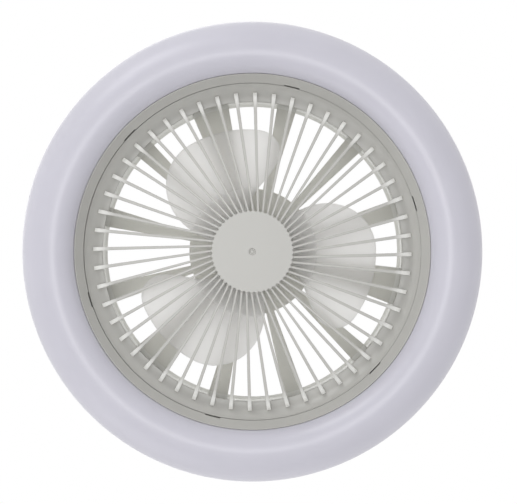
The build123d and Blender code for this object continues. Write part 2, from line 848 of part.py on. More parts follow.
with BuildPart() as driver_board_screws:
    with BuildSketch(Plane.XY.offset(level(driver_face_depth))):
        with PolarLocations(board_boss_circle, 3, start_angle=board_boss_angle):
            Circle(small_head_radius)
    extrude(amount=small_head_height)
    with BuildSketch(Plane.XY.offset(level(driver_face_depth))):
        with PolarLocations(board_boss_circle, 3, start_angle=board_boss_angle):
            Circle(small_screw_radius)
    extrude(amount=-(board_thickness + collar_height - screw_radius))
finish(driver_board_screws, "driver_board_screws")

with BuildPart() as driver_capacitors:
    for (radius, height), place in zip(capacitor_sizes, capacitor_places):
        with BuildSketch(Plane.XY.offset(level(driver_face_depth))):
            with Locations(place):
                Circle(radius)
        extrude(amount=height)
finish(driver_capacitors, "driver_capacitors")

with BuildPart() as transformer_core:
    with BuildSketch(Plane.XZ.offset(-transformer_place[1])):
        with Locations((transformer_place[0], level(driver_face_depth) + transformer_size[2] / 2)):
            Rectangle(transformer_size[0], transformer_size[2])
            with Locations((-transformer_size[0] / 4, 0), (transformer_size[0] / 4, 0)):
                Rectangle(
                    transformer_size[0] / 2 - transformer_leg,
                    transformer_size[2] - transformer_leg,
                    mode=Mode.SUBTRACT,
                )
    extrude(amount=transformer_leg, both=True)
finish(transformer_core, "transformer_core")

with BuildPart() as transformer_winding:
    winding_height = transformer_size[2] - transformer_leg - 2 * press_gap
    with BuildSketch(Plane.XY.offset(level(driver_face_depth) + transformer_leg / 2 + press_gap)):
        with Locations(transformer_place):
            winding_width = transformer_size[0] - transformer_leg - 2 * seat_gap
            RectangleRounded(winding_width, transformer_size[1], transformer_leg / 2)
            Rectangle(
                transformer_leg + 2 * press_gap,
                2 * (transformer_leg + press_gap),
                mode=Mode.SUBTRACT,
            )
    extrude(amount=winding_height)
finish(transformer_winding, "transformer_winding")

with BuildPart() as line_inductor:
    with BuildSketch(Plane.XZ.offset(-inductor_place[1])):
        with BuildLine():
            base = level(driver_face_depth)
            Polyline(
                (inductor_place[0], base),
                (inductor_place[0] + inductor_radius, base),
                (inductor_place[0] + inductor_radius, base + inductor_flange),
                (inductor_place[0] + inductor_waist, base + inductor_flange),
                (inductor_place[0] + inductor_waist, base + inductor_height - inductor_flange),
                (inductor_place[0] + inductor_radius, base + inductor_height - inductor_flange),
                (inductor_place[0] + inductor_radius, base + inductor_height),
                (inductor_place[0], base + inductor_height),
                close=True,
            )
        make_face()
    revolve(axis=Axis((inductor_place[0], inductor_place[1], 0), (0, 0, 1)))
finish(line_inductor, "line_inductor")

with BuildPart() as led_connector:
    with BuildSketch(Plane.XY.offset(level(driver_face_depth))):
        with Locations(connector_place):
            Rectangle(connector_size[0], connector_size[1])
    extrude(amount=connector_size[2])
finish(led_connector, "led_connector")


# Driver housing: the tapered neck, open at the cage and carrying the cap on its spigot
def neck_outline(inset):
    """Half section of the neck, drawn a given distance inside its outer skin."""
    base = level(cage_rear_depth + seat_gap)
    shoulder = JernArc(
        (cage_hub_radius - inset, base + neck_base_height),
        tangent=(0, 1),
        radius=neck_shoulder_radius - inset,
        arc_size=neck_taper,
    )
    taper_run = (shoulder @ 1).X - neck_waist_radius + inset
    taper_top = (shoulder @ 1).Y + taper_run / math.tan(math.radians(neck_taper))
    Polyline(
        shoulder @ 1,
        (neck_waist_radius - inset, taper_top),
        (neck_top_radius - inset, -inset),
        (spigot_radius - inset, -inset),
        (spigot_radius - inset, spigot_height),
        (0, spigot_height),
        (0, base),
        (cage_hub_radius - inset, base),
        shoulder @ 0,
    )


with BuildPart() as driver_housing:
    for inset, mode in ((0, Mode.ADD), (neck_wall, Mode.SUBTRACT)):
        with BuildSketch(Plane.XZ):
            with BuildLine():
                neck_outline(inset)
            make_face()
        revolve(axis=Axis.Z, mode=mode)
finish(driver_housing, "driver_housing")


# Screw cap: thin shell, insulator and end contact
cone_depth = cap_shell_height + cap_cone_height
with BuildPart() as lamp_cap_shell:
    with BuildSketch(Plane.XZ):
        with BuildLine():
            Polyline(
                (cap_radius, 0),
                (cap_radius, cap_shell_height),
                (cap_mouth_radius, cone_depth),
                (cap_mouth_radius, cone_depth - cap_wall),
                (cap_radius - cap_wall, cap_shell_height - cap_wall),
                (cap_radius - cap_wall, 0),
                close=True,
            )
        make_face()
    revolve(axis=Axis.Z)
finish(lamp_cap_shell, "lamp_cap_shell")

with BuildPart() as lamp_cap_insulator:
    with BuildSketch(Plane.XZ):
        with BuildLine():
            Polyline(
                (contact_stem_radius + press_gap, cone_depth - cap_cone_height / 2),
                (cap_mouth_radius - slide_gap, cone_depth - cap_cone_height / 2),
                (cap_mouth_radius - slide_gap, cone_depth),
                (insulator_top_radius, cone_depth + insulator_cap_height),
                (contact_stem_radius + press_gap, cone_depth + insulator_cap_height),
                close=True,
            )
        make_face()
    revolve(axis=Axis.Z)
finish(lamp_cap_insulator, "lamp_cap_insulator")

contact_base = cone_depth + insulator_cap_height
with BuildPart() as lamp_cap_contact:
    with BuildSketch(Plane.XZ):
        with BuildLine():
            contact_top = (0, contact_base + contact_height)
            contact_rim = (contact_radius, contact_base)
            TangentArc(contact_top, contact_rim, tangent=(1, 0))
            Polyline(
                contact_rim,
                (contact_stem_radius, contact_base),
                (contact_stem_radius, contact_base - contact_stem_length),
                (0, contact_base - contact_stem_length),
                contact_top,
            )
        make_face()
    revolve(axis=Axis.Z)
finish(lamp_cap_contact, "lamp_cap_contact")


# Wires: plain round tubes along straight runs joined by tangent arcs
def wires(routes, radius, name):
    """One solid for each route of points, all in one piece."""
    with BuildPart() as piece:
        for route in routes:
            radii = corner_radii(route)
            print(name, "radii", [round(value, 1) for value in radii])
            with BuildLine() as path:
                if radii:
                    FilletPolyline(*route, radius=radii)
                else:
                    Line(*route)
            with BuildSketch(Plane(origin=path.line @ 0, z_dir=path.line % 0)):
                Circle(radius)
            sweep()
    finish(piece, name)


wire_floor = level(driver_face_depth)
wire_rise = wire_floor + neck_base_height
cap_joint = (cap_radius - cap_wall - slide_gap, 0, (spigot_height + cap_shell_height) / 2)
stem_joint = (0, 0, contact_base - contact_stem_length)
mains_routes = (
    (
        (*mains_pads[0], wire_floor),
        (*mains_pads[0], wire_rise),
        (spigot_radius - neck_wall - mains_wire_radius, -neck_wall, wire_floor / 2),
        (spigot_radius - neck_wall - 2 * mains_wire_radius, 0, cap_joint[2]),
        cap_joint,
    ),
    (
        (*mains_pads[1], wire_floor),
        (*mains_pads[1], wire_rise),
        (2 * neck_wall, -2 * neck_wall, wire_floor / 2),
        (0, 0, spigot_height - neck_wall),
        stem_joint,
    ),
)
wires(mains_routes, mains_wire_radius, "mains_wires")

tunnel_middle = level(cage_front_depth + tunnel_floor + tunnel_height / 2)
tunnel_mouth = tunnel_outer - tunnel_slots[1] / 2
led_wire_side = tunnel_width / 4
led_wire_top = wire_floor + connector_size[2] / 2
led_wire_front = level(pan_flange_depth) - 3 * led_wire_radius
led_routes = [
    (
        (x, connector_place[1] + connector_size[1] / 2, led_wire_top),
        (x, tunnel_inner + tunnel_slots[1] / 2, led_wire_top),
        (x, tunnel_inner + tunnel_slots[1] / 2, tunnel_middle),
        (x, tunnel_mouth, tunnel_middle),
        (x, tunnel_mouth, led_wire_front),
        (x, led_board_inner + 2 * led_wire_radius, led_wire_front),
        (x, led_board_inner + 2 * led_wire_radius, level(board_face_depth)),
    )
    for x in (-led_wire_side, led_wire_side)
]
wires(led_routes, led_wire_radius, "led_wires")

motor_wire_row = -(bearing_boss_radius + wire_slot[1])
motor_routes = [
    (
        (x, motor_wire_row, level(motor_board_depth + motor_board_thickness)),
        (x, motor_wire_row, level(driver_board_depth)),
    )
    for x in (-motor_wire_pitch, 0, motor_wire_pitch)
]
wires(motor_routes, motor_wire_radius, "motor_wires")
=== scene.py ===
import math

import bmesh
import bpy
import numpy as np
from mathutils import Matrix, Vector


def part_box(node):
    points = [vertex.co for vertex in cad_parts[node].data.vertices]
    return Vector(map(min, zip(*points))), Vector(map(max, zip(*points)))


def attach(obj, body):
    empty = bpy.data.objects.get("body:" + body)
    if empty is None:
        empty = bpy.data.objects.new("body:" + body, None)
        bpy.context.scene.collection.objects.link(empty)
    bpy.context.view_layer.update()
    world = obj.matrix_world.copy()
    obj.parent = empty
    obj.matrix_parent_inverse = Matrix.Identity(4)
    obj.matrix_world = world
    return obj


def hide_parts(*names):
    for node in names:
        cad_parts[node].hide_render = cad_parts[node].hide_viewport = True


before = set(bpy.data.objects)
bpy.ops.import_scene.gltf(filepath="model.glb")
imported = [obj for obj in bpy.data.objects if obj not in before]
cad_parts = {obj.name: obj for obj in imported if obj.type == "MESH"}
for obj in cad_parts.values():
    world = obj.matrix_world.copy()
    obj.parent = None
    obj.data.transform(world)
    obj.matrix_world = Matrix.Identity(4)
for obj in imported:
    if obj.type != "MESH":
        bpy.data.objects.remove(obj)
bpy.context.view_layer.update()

bl_info = {
    "name": "Socket fan light",
    "version": (1, 0, 0),
    "blender": (4, 5, 0),
    "location": "View3D > Sidebar > Fan light",
    "description": "Builds the surfaces, finishes and studio of a socket fan light",
    "category": "Object",
}

# One millimetre in metres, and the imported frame's box before anything is added
MM = 0.001
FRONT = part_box("diffuser")[0].z
OVERALL_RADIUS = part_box("diffuser")[1].x

# Lengths that several pieces share: depths of the cage's faces, walls and gaps, the light
# ring's lip, screws and their holes, the wire tunnel, and how far a cutter runs past a face
CAGE_FRONT = 42.0 * MM
CAGE_REAR = 48.0 * MM
WALL = 2.0 * MM
SEAT_GAP = 0.3 * MM
EDGE_EASE = 0.18 * MM
RING_LIP = 4.8 * MM
SCREW_SEAT = CAGE_REAR - 2.1 * MM
SCREW_INSET = 6.2 * MM
SCREW_BORE = 1.7 * MM
BOARD_BORE = 1.05 * MM
TUNNEL_HALF = 2.2 * MM
PAST = 1.0 * MM

# Angle in degrees above which two faces meet in a crisp edge
CREASE = 35.0


def length(label, text, value):
    """A length property in millimetres, kept in metres."""
    return bpy.props.FloatProperty(
        name=label, description=text, default=value * MM, unit="LENGTH", subtype="DISTANCE", precision=4
    )


def colour(label, text, value):
    """A colour property, linear red, green and blue."""
    return bpy.props.FloatVectorProperty(
        name=label, description=text, default=value, size=3, subtype="COLOR", min=0.0, max=1.0
    )


def degrees(label, text, value):
    """An angle property given in degrees, kept in radians."""
    return bpy.props.FloatProperty(
        name=label, description=text, default=math.radians(value), subtype="ANGLE"
    )


def watts(label, text, value):
    """A lamp's power."""
    return bpy.props.FloatProperty(name=label, description=text, default=value, unit="POWER")


def measure(label, text, value):
    """A plain number."""
    return bpy.props.FloatProperty(name=label, description=text, default=value)


def whole(label, text, value):
    """A count of one or more."""
    return bpy.props.IntProperty(name=label, description=text, default=value, min=1)


# Sizes and colours that a user would change


class RingSizes(bpy.types.PropertyGroup):
    """Light ring and the grey frame inside it."""

    nose: length("Nose radius", "Radius of the light ring's rounded front", 18.0)
    wall: length("Wall", "Thickness of the milky wall", 2.0)
    inner_drop: length("Inner drop", "Depth of the ring's inner edge", 8.5)
    tuck: length("Tuck", "How far the side draws in towards the back", 3.4)
    side_depth: length("Side depth", "Depth of the ring's rear edge", 40.0)
    width: length("Ring width", "From the fan well to the outside", 34.8)
    slope: length("Frame slope", "Width of the frame's sloping face", 4.4)
    lip_depth: length("Frame lip", "Depth of the frame's inner lip", 14.7)
    lip_height: length("Lip height", "Height of the bayonet lip", 3.3)
    groove: length("Groove", "How far the bayonet groove is cut back", 0.8)
    notch: degrees("Notch", "Angle of each bayonet notch", 5.2)
    notch_cut: measure("Notch cut", "Share of the groove that a notch opens", 0.65)
    notches: whole("Notches", "Bayonet notches round the lip", 6)


class GrilleSizes(bpy.types.PropertyGroup):
    """Swirled front grille."""

    ribs: whole("Ribs", "Number of ribs", 52)
    swirl: length("Swirl", "How far each rib passes beside the axis", 3.8)
    phase: degrees("Phase", "Turn of the first rib", 1.16)
    inner_width: length("Root width", "Width of a rib at the disc", 1.2)
    outer_width: length("End width", "Width of a rib at the ring", 1.9)
    flare: length("End flare", "Width that a rib gains over its last few millimetres", 0.4)
    height: length("Rib height", "Depth of a rib from front to back", 4.4)
    front: length("Rib front", "Depth of the ribs' front", 12.6)
    shoulder_radius: length("Shoulder radius", "Where the ribs start to curve back", 81.0)
    shoulder_drop: length("Shoulder drop", "Depth that a rib loses up to its shoulder", 0.8)
    rib_end: length("Rib end", "From the ring's outside in to the square rib ends", 4.9)
    end_drop: length("End drop", "Depth that a rib loses from its shoulder to its end", 4.9)
    dish_width: length("Dish width", "Width of the dished ring", 9.7)
    dish_depth: length("Dish depth", "Depth of the dished ring", 6.3)
    skirt: length("Skirt", "From the dish's inner edge to the skirt's rear", 1.4)
    wall: length("Wall", "Wall of the ring and its skirt", 1.8)
    disc_radius: length("Disc radius", "Radius of the centre disc", 22.8)
    disc_front: length("Disc front", "Depth of the disc's face", 12.1)
    disc_thickness: length("Disc thickness", "Thickness of the disc", 2.6)
    dimple: length("Dimple", "Radius of the dimple in the disc", 2.1)
    tab_reach: length("Tab reach", "How far a bayonet tab stands out", 0.8)


class FanSizes(bpy.types.PropertyGroup):
    """Three-bladed impeller."""

    tip: length("Tip radius", "Radius of the blade tips", 71.5)
    hub: length("Hub radius", "Radius of the hub cup", 21.0)
    hub_front: length("Hub front", "Depth of the hub's face", 24.0)
    hub_rear: length("Hub rear", "Depth of the hub's open end", 39.2)
    hub_wall: length("Hub wall", "Wall of the hub cup", 1.9)
    thickness: length("Blade thickness", "Thickness of a blade", 1.8)
    front: length("Trailing edge", "Depth of the blade's front edge", 27.2)
    rear: length("Leading edge", "Depth of the blade's rear edge", 37.4)
    camber: length("Camber", "Bow of the blade between its edges", 1.2)
    phase: degrees("Phase", "Turn of the first blade", 78.5)


class BodySizes(bpy.types.PropertyGroup):
    """Rear cage, light pan, neck and screw cap."""

    hub: length("Cage hub", "Radius of the hub plate and the neck's foot", 36.9)
    ledge: length("Ledge", "From the well wall in to the windows", 7.8)
    flange: length("Flange", "From the well wall out to the cage's edge", 9.8)
    lip: length("Window lip", "How far the windows draw in towards the back", 2.2)
    waist: length("Waist", "Radius of the neck under its cap", 17.5)
    neck_top: length("Neck top", "Radius of the neck at the cap", 15.5)
    shoulder: length("Shoulder", "Radius of the neck's shoulder", 16.0)
    taper: degrees("Taper", "Lean of the neck's cone", 48.0)
    cap: length("Cap radius", "Radius over the thread's crests", 13.1)
    pitch: length("Thread pitch", "Rise of the thread in one turn", 3.6)
    thread: length("Thread depth", "From the thread's crest to its root", 0.95)


class Colours(bpy.types.PropertyGroup):
    """Colours of the main finishes."""

    milky: colour("Light ring", "Milky lavender plastic of the ring", (0.592, 0.582, 0.650))
    grey: colour("Frame and grille", "Silver-grey plastic", (0.490, 0.485, 0.461))
    cage: colour("Rear cage", "Grey plastic of the cage", (0.740, 0.735, 0.680))
    blade: colour("Blades", "Milky plastic of the fan", (0.930, 0.925, 0.920))
    white: colour("Housing", "White plastic of the pan and neck", (0.700, 0.700, 0.690))


class Studio(bpy.types.PropertyGroup):
    """Camera, lamps and background."""

    distance: length("Camera distance", "From the front plane", 700.0)
    lens: measure("Lens", "Focal length in millimetres", 88.27)
    roll: degrees("Roll", "Angle of the picture's right-hand side", 196.5)
    shift: bpy.props.FloatVectorProperty(
        name="Shift", description="Lens shift in picture widths", default=(0.0119, -0.0007), size=2
    )
    front: watts("Front", "Power of the front lamp", 1.3)
    key: watts("Key", "Power of the key lamp", 3.2)
    fill: watts("Fill", "Power of the low fill lamp", 2.0)
    back: watts("Back", "Power of the lamp above", 4.5)
    ambient: measure("Ambient", "Strength of the even light", 1.0)
    fall: measure("Fall", "Share that the even light loses to the right", 0.2)
    floor_drop: length("Floor", "How far the floor lies under the light", 1300.0)
    floor_reach: length("Floor reach", "From the axis to the floor's edges", 12000.0)


SETTINGS = {
    "ring": RingSizes,
    "grille": GrilleSizes,
    "fan": FanSizes,
    "body": BodySizes,
    "colours": Colours,
    "studio": Studio,
}


def settings(name):
    """One of the scene's groups of settings."""
    return getattr(bpy.context.scene, f"fan_light_{name}")


# Outlines: arrays of points (radius, depth), worked out whole


def tangent_arc(start, end, direction, steps):
    """Arc from start to end that leaves along direction.

    With n square to the direction and d the chord, the radius is d.d / (2 d.n), and the arc
    turns through twice the angle between chord and direction.
    """
    start, end, direction = (np.asarray(value, float) for value in (start, end, direction))
    chord = end - start
    normal = np.array((-direction[1], direction[0]))
    normal = normal * np.sign(chord @ normal)
    radius = (chord @ chord) / (2 * (chord @ normal))
    turn = 2 * math.atan2(chord @ normal, chord @ direction)
    angle = np.linspace(0, turn, steps + 1)[:, None]
    return start + radius * (np.sin(angle) * direction + (1 - np.cos(angle)) * normal)


def rounded(corners, radius, steps=4):
    """Closed outline with each corner swapped for an arc tangent to both its sides.

    The arc starts radius times the tangent of half the turn before the corner, but never
    more than 0.45 of the shorter side.
    """
    corners = np.asarray(corners, float)
    radius = np.broadcast_to(np.asarray(radius, float), len(corners))
    arriving = corners - np.roll(corners, 1, axis=0)
    leaving = np.roll(corners, -1, axis=0) - corners
    sides = np.linalg.norm(arriving, axis=1), np.linalg.norm(leaving, axis=1)
    arriving, leaving = arriving / sides[0][:, None], leaving / sides[1][:, None]
    cross = arriving[:, 0] * leaving[:, 1] - arriving[:, 1] * leaving[:, 0]
    turn = np.arctan2(cross, (arriving * leaving).sum(1))
    half = np.tan(np.maximum(np.abs(turn), 1e-6) / 2)
    reach = np.minimum(radius * half, 0.45 * np.minimum(*sides))
    normal = np.stack((-arriving[:, 1], arriving[:, 0]), 1) * np.sign(turn)[:, None]
    angle = (np.linspace(0, 1, steps + 1)[None, :] * np.abs(turn)[:, None])[..., None]
    run = np.sin(angle) * arriving[:, None] + (1 - np.cos(angle)) * normal[:, None]
    start = corners - arriving * reach[:, None]
    return (start[:, None] + (reach / half)[:, None, None] * run).reshape(-1, 2)


def inset(path, distance):
    """Open path moved square to itself, to the left of its travel for a positive distance."""
    along = np.gradient(path, axis=0)
    along /= np.linalg.norm(along, axis=1)[:, None]
    return path + distance * np.stack((-along[:, 1], along[:, 0]), 1)


# Shells: grids of points (rows, columns, 3) that close on themselves


def turned(outline, segments, angles=None):
    """Surface of revolution: every outline point (radius, depth) carried round the axis.

    A point is (radius cos a, radius sin a, front plane + depth). The outline may be one for
    all angles, or one for each angle.
    """
    if angles is None:
        angles = np.linspace(0, 2 * math.pi, segments, endpoint=False)
    outline = np.broadcast_to(outline, (len(angles),) + np.shape(outline)[-2:])
    radius, depth = outline[..., 0], outline[..., 1]
    turn = np.asarray(angles)[:, None]
    return np.stack((radius * np.cos(turn), radius * np.sin(turn), depth + FRONT), -1)


def around(points, angles):
    """Copies of an array of points turned about the axis, one for each angle."""
    turn = np.asarray(angles).reshape((-1,) + (1,) * (points.ndim - 1))
    x, y, z = points[..., 0], points[..., 1], points[..., 2]
    cosine, sine = np.cos(turn), np.sin(turn)
    return np.stack((cosine * x - sine * y, sine * x + cosine * y, z + 0 * turn), -1)


def capped(rows):
    """A tube of section rings closed at both ends by drawing an extra ring to its centre."""
    first = np.broadcast_to(rows[:1].mean(1, keepdims=True), rows[:1].shape)
    last = np.broadcast_to(rows[-1:].mean(1, keepdims=True), rows[-1:].shape)
    return np.concatenate((first, rows, last))


def grid_faces(rows, columns, wrap):
    """Quads of a grid whose columns always close, and whose rows close when wrap is true."""
    i = np.arange(rows if wrap else rows - 1)[:, None]
    j = np.arange(columns)[None, :]
    across, down = (j + 1) % columns, (i + 1) % rows
    quads = (i * columns + j, i * columns + across, down * columns + across, down * columns + j)
    return np.stack(np.broadcast_arrays(*quads), -1).reshape(-1, 4)


def outward(points, faces):
    """The faces, turned round if the shell they close has a negative volume."""
    corner = points[faces]
    volume = np.einsum("ij,ij->", corner[:, 0], np.cross(corner[:, 1], corner[:, 2]))
    volume += np.einsum("ij,ij->", corner[:, 0], np.cross(corner[:, 2], corner[:, 3]))
    return faces if volume > 0 else faces[:, ::-1]


def mesh_of(name, shells):
    """Mesh of closed shells, with doubled points merged and the slivers they leave removed."""
    points, faces, count = [], [], 0
    for shell, wrap in shells:
        flat = shell.reshape(-1, 3)
        points.append(flat)
        faces.append(outward(flat, grid_faces(shell.shape[0], shell.shape[1], wrap)) + count)
        count += len(flat)
    mesh = bpy.data.meshes.new(name)
    mesh.from_pydata(np.concatenate(points).tolist(), [], np.concatenate(faces).tolist())
    work = bmesh.new()
    work.from_mesh(mesh)
    bmesh.ops.remove_doubles(work, verts=work.verts, dist=2e-6)
    bmesh.ops.dissolve_degenerate(work, edges=work.edges, dist=1e-7)
    bare = [edge for edge in work.edges if not edge.link_faces]
    bmesh.ops.delete(work, geom=bare, context="EDGES")
    work.to_mesh(mesh)
    work.free()
    return mesh


def piece(name, shells, material, body, replaces=(), crease=CREASE):
    """One finished object from its shells: grids that wrap both ways, or capped tubes."""
    return dressed(name, mesh_of(name, shells), material, body, replaces, crease)


def dressed(name, mesh, material, body, replaces=(), crease=CREASE):
    """Object for a mesh, smooth up to the crease angle, riding on its body."""
    mesh.polygons.foreach_set("use_smooth", np.ones(len(mesh.polygons), bool))
    mesh.set_sharp_from_angle(angle=math.radians(crease))
    mesh.materials.append(material)
    made = bpy.data.objects.new(name, mesh)
    bpy.context.scene.collection.objects.link(made)
    weigh = made.modifiers.new("even faces", "WEIGHTED_NORMAL")
    weigh.keep_sharp = True
    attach(made, body)
    if replaces:
        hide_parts(*replaces)
    return made


def drill(target, cutters):
    """Takes the cutters' shells out of a piece, whose own shells are fused on the way."""
    cutter = bpy.data.objects.new("cutter", mesh_of("cutter", cutters))
    bpy.context.scene.collection.objects.link(cutter)
    target.modifiers.clear()
    cut = target.modifiers.new("holes", "BOOLEAN")
    cut.operation, cut.solver, cut.object = "DIFFERENCE", "EXACT", cutter
    cut.use_self = True
    bpy.context.view_layer.update()
    graph = bpy.context.evaluated_depsgraph_get()
    result = bpy.data.meshes.new_from_object(target.evaluated_get(graph))
    target.modifiers.clear()
    before, target.data = target.data, result
    spare = cutter.data
    bpy.data.objects.remove(cutter)
    bpy.data.meshes.remove(spare)
    bpy.data.meshes.remove(before)
    if not len(result.polygons):
        raise RuntimeError(f"{target.name} has no faces left")
    result.set_sharp_from_angle(angle=math.radians(CREASE))
    target.modifiers.new("even faces", "WEIGHTED_NORMAL").keep_sharp = True


def standing(outline, place, sides=36):
    """Closed outline of (radius, depth) turned about the upright line through a place."""
    return turned(np.array(outline), sides) + np.array((*place, 0.0)), True


def peg(radius, front, rear, place, flare=0.0):
    """Solid round peg between two depths, its rear end flared."""
    outline = ((0, front), (radius, front), (radius, rear - flare), (radius + flare, rear), (0, rear))
    return standing(outline, place)


def block(low, high):
    """Box between two corners, each x, y and depth."""
    (x0, y0, front), (x1, y1, rear) = low, high
    ring = np.array(((x0, y0, 0), (x1, y0, 0), (x1, y1, 0), (x0, y1, 0)))
    levels = np.array((front, rear)) + FRONT
    return capped(ring + levels[:, None, None] * np.array((0, 0, 1))), False


def bar_sections(half_width, half_height, corner, steps=4):
    """Rounded rectangles about the origin, one for each row of half widths.

    Every corner's centre carries a quarter circle. Returns how far each point lies across
    and through.
    """
    turn = (np.arange(4)[:, None] * math.pi / 2 + np.linspace(0, math.pi / 2, steps + 1)).ravel()
    middle = np.repeat(np.arange(4) * math.pi / 2 + math.pi / 4, steps + 1)
    across = np.sign(np.cos(middle)) * (half_width[:, None] - corner) + corner * np.cos(turn)
    through = np.sign(np.sin(middle)) * (half_height[:, None] - corner) + corner * np.sin(turn)
    return across, through


def polar(radius, angle):
    """Point of the plan from its radius and angle."""
    return radius * math.cos(angle), radius * math.sin(angle)


def thirds(radius):
    """Plan places of three screws, evenly round a circle."""
    return [polar(radius, math.radians(30 + 120 * k)) for k in range(3)]


def well_radius():
    """Radius of the fan well."""
    return OVERALL_RADIUS - settings("ring").width


def frame_screw_places():
    """Plan places of the six screws that clamp cage, pan and frame."""
    return [polar(well_radius() + SCREW_INSET, k * math.pi / 3) for k in range(6)]


def notch_angles(count, half, start=0.0):
    """Angles round a ring with steps at each notch's sides, and 1 in a notch or 0 between."""
    centres = np.arange(count) * 2 * math.pi / count + start
    inside = np.linspace(-half, half, 6)
    plain = np.linspace(half * 1.01, 2 * math.pi / count - half * 1.01, 46)
    angles = (centres[:, None] + np.concatenate((inside, plain))[None, :]).ravel()
    return angles, np.tile(np.repeat((1.0, 0.0), (6, 46)), count)[:, None, None]


# Finishes


def shader_of(name, base, roughness, metallic=0.0):
    """New material with its principled shader set to plain values."""
    material = bpy.data.materials.new(name)
    material.use_nodes = True
    tree = material.node_tree
    shader = tree.nodes["Principled BSDF"]
    shader.inputs["Base Color"].default_value = (*base, 1.0)
    shader.inputs["Roughness"].default_value = roughness
    shader.inputs["Metallic"].default_value = metallic
    return material, tree, shader


def add_node(tree, kind, inputs, **options):
    """New node with its options and inputs set: a socket is linked in, the rest are values."""
    node = tree.nodes.new(kind)
    for name, value in options.items():
        setattr(node, name, value)
    for name, value in inputs.items():
        if isinstance(value, bpy.types.NodeSocket):
            tree.links.new(value, node.inputs[name])
        else:
            node.inputs[name].default_value = value
    return node


def object_place(tree):
    """Object coordinates."""
    return tree.nodes.new("ShaderNodeTexCoord").outputs["Object"]


def noise(tree, size, detail=2.0, stretch=(1.0, 1.0, 1.0)):
    """Noise in object coordinates whose features measure about the given size."""
    mapping = add_node(tree, "ShaderNodeMapping", {"Vector": object_place(tree), "Scale": stretch})
    inputs = {"Vector": mapping.outputs["Vector"], "Scale": 1.0 / size, "Detail": detail}
    return add_node(tree, "ShaderNodeTexNoise", inputs).outputs["Fac"]


def mapped(tree, value, start, end, low, high):
    """A value taken from between start and end to between low and high, and held there."""
    inputs = {"Value": value, "From Min": start, "From Max": end, "To Min": low, "To Max": high}
    return add_node(tree, "ShaderNodeMapRange", inputs).outputs["Result"]


def spread(tree, value, low, high):
    """A texture value mapped from its middle range to lie between low and high."""
    return mapped(tree, value, 0.3, 0.7, low, high)


def tint(tree, factor, first, second):
    """Colour between two others by a factor."""
    inputs = {"A": (*first, 1.0), "B": (*second, 1.0), "Factor": factor}
    return add_node(tree, "ShaderNodeMix", inputs, data_type="RGBA").outputs["Result"]


def relief(tree, shader, height, distance):
    """Bump of a real height from a texture value."""
    node = add_node(tree, "ShaderNodeBump", {"Strength": 1.0, "Distance": distance, "Height": height})
    tree.links.new(node.outputs["Normal"], shader.inputs["Normal"])


def maths(tree, operation, *inputs):
    """Result of a maths node on sockets and plain numbers."""
    return add_node(tree, "ShaderNodeMath", dict(enumerate(inputs)), operation=operation).outputs[0]


def vector_maths(tree, operation, *inputs, result="Vector"):
    """Result of a vector maths node on sockets and plain vectors."""
    node = add_node(tree, "ShaderNodeVectorMath", dict(enumerate(inputs)), operation=operation)
    return node.outputs[result]


def axis_distance(tree):
    """Distance to the axis, in object coordinates."""
    flat = vector_maths(tree, "MULTIPLY", object_place(tree), (1, 1, 0))
    return vector_maths(tree, "LENGTH", flat, result="Value")


def between_radii(tree, inner, outer):
    """1 where the distance to the axis lies between two radii."""
    return maths(tree, "COMPARE", axis_distance(tree), (inner + outer) / 2, (outer - inner) / 2)


def scaled(base, share):
    """A colour made darker or lighter by a share."""
    return tuple(min(1.0, channel * share) for channel in base)


def moulded(name, base, roughness, grain, relief_height, mottle=0.02):
    """Moulded plastic: fine spark grain, faint cloudiness and a roughness that wanders."""
    material, tree, shader = shader_of(name, base, roughness)
    cloud = spread(tree, noise(tree, 28 * MM, 3.0), 0.0, 1.0)
    colour_out = tint(tree, cloud, scaled(base, 1 - mottle), scaled(base, 1 + mottle))
    tree.links.new(colour_out, shader.inputs["Base Color"])
    fine = noise(tree, grain, 3.0)
    tree.links.new(spread(tree, fine, roughness - 0.05, roughness + 0.05), shader.inputs["Roughness"])
    relief(tree, shader, fine, relief_height)
    return material, tree, shader


def plastic(name, base, roughness, grain, relief_height, mottle=0.02):
    """Moulded plastic alone, its grain's size and relief given in millimetres."""
    return moulded(name, base, roughness, grain * MM, relief_height * MM, mottle)[0]


def metal(name, base, roughness, stretch, size=1.2 * MM, relief_height=0.004 * MM):
    """Metal with a grain drawn out along one way, in colour, roughness and relief."""
    material, tree, shader = shader_of(name, base, roughness, metallic=1.0)
    grain = noise(tree, size, 4.0, stretch)
    tree.links.new(tint(tree, grain, scaled(base, 0.86), scaled(base, 1.1)), shader.inputs["Base Color"])
    tree.links.new(spread(tree, grain, roughness - 0.07, roughness + 0.1), shader.inputs["Roughness"])
    relief(tree, shader, grain, relief_height)
    return material


def striped(name, base, roughness, pitch, direction, metallic=0.0, dark=0.6):
    """Stack or winding: fine stripes across one axis, in colour and relief.

    A wave texture at scale 1 has its stripes 0.314 apart, a twentieth of a full turn.
    """
    material, tree, shader = shader_of(name, base, roughness, metallic)
    inputs = {"Vector": object_place(tree), "Scale": 0.314 / pitch, "Distortion": 0.15}
    stripe = add_node(tree, "ShaderNodeTexWave", inputs, bands_direction=direction).outputs["Fac"]
    tree.links.new(tint(tree, stripe, scaled(base, dark), base), shader.inputs["Base Color"])
    relief(tree, shader, stripe, pitch / 5)
    return material


def circuit(name, base, copper):
    """Circuit board: solder mask over faint straight tracks."""
    material, tree, shader = shader_of(name, base, 0.35)
    inputs = {
        "Vector": object_place(tree),
        "Scale": 1 / (9 * MM),
        "Mortar Size": 0.06,
        "Color1": (*base, 1.0),
        "Color2": (*scaled(base, 0.85), 1.0),
        "Mortar": (*copper, 1.0),
    }
    tracks = add_node(tree, "ShaderNodeTexBrick", inputs)
    tree.links.new(tracks.outputs["Color"], shader.inputs["Base Color"])
    relief(tree, shader, tracks.outputs["Fac"], 0.03 * MM)
    return material


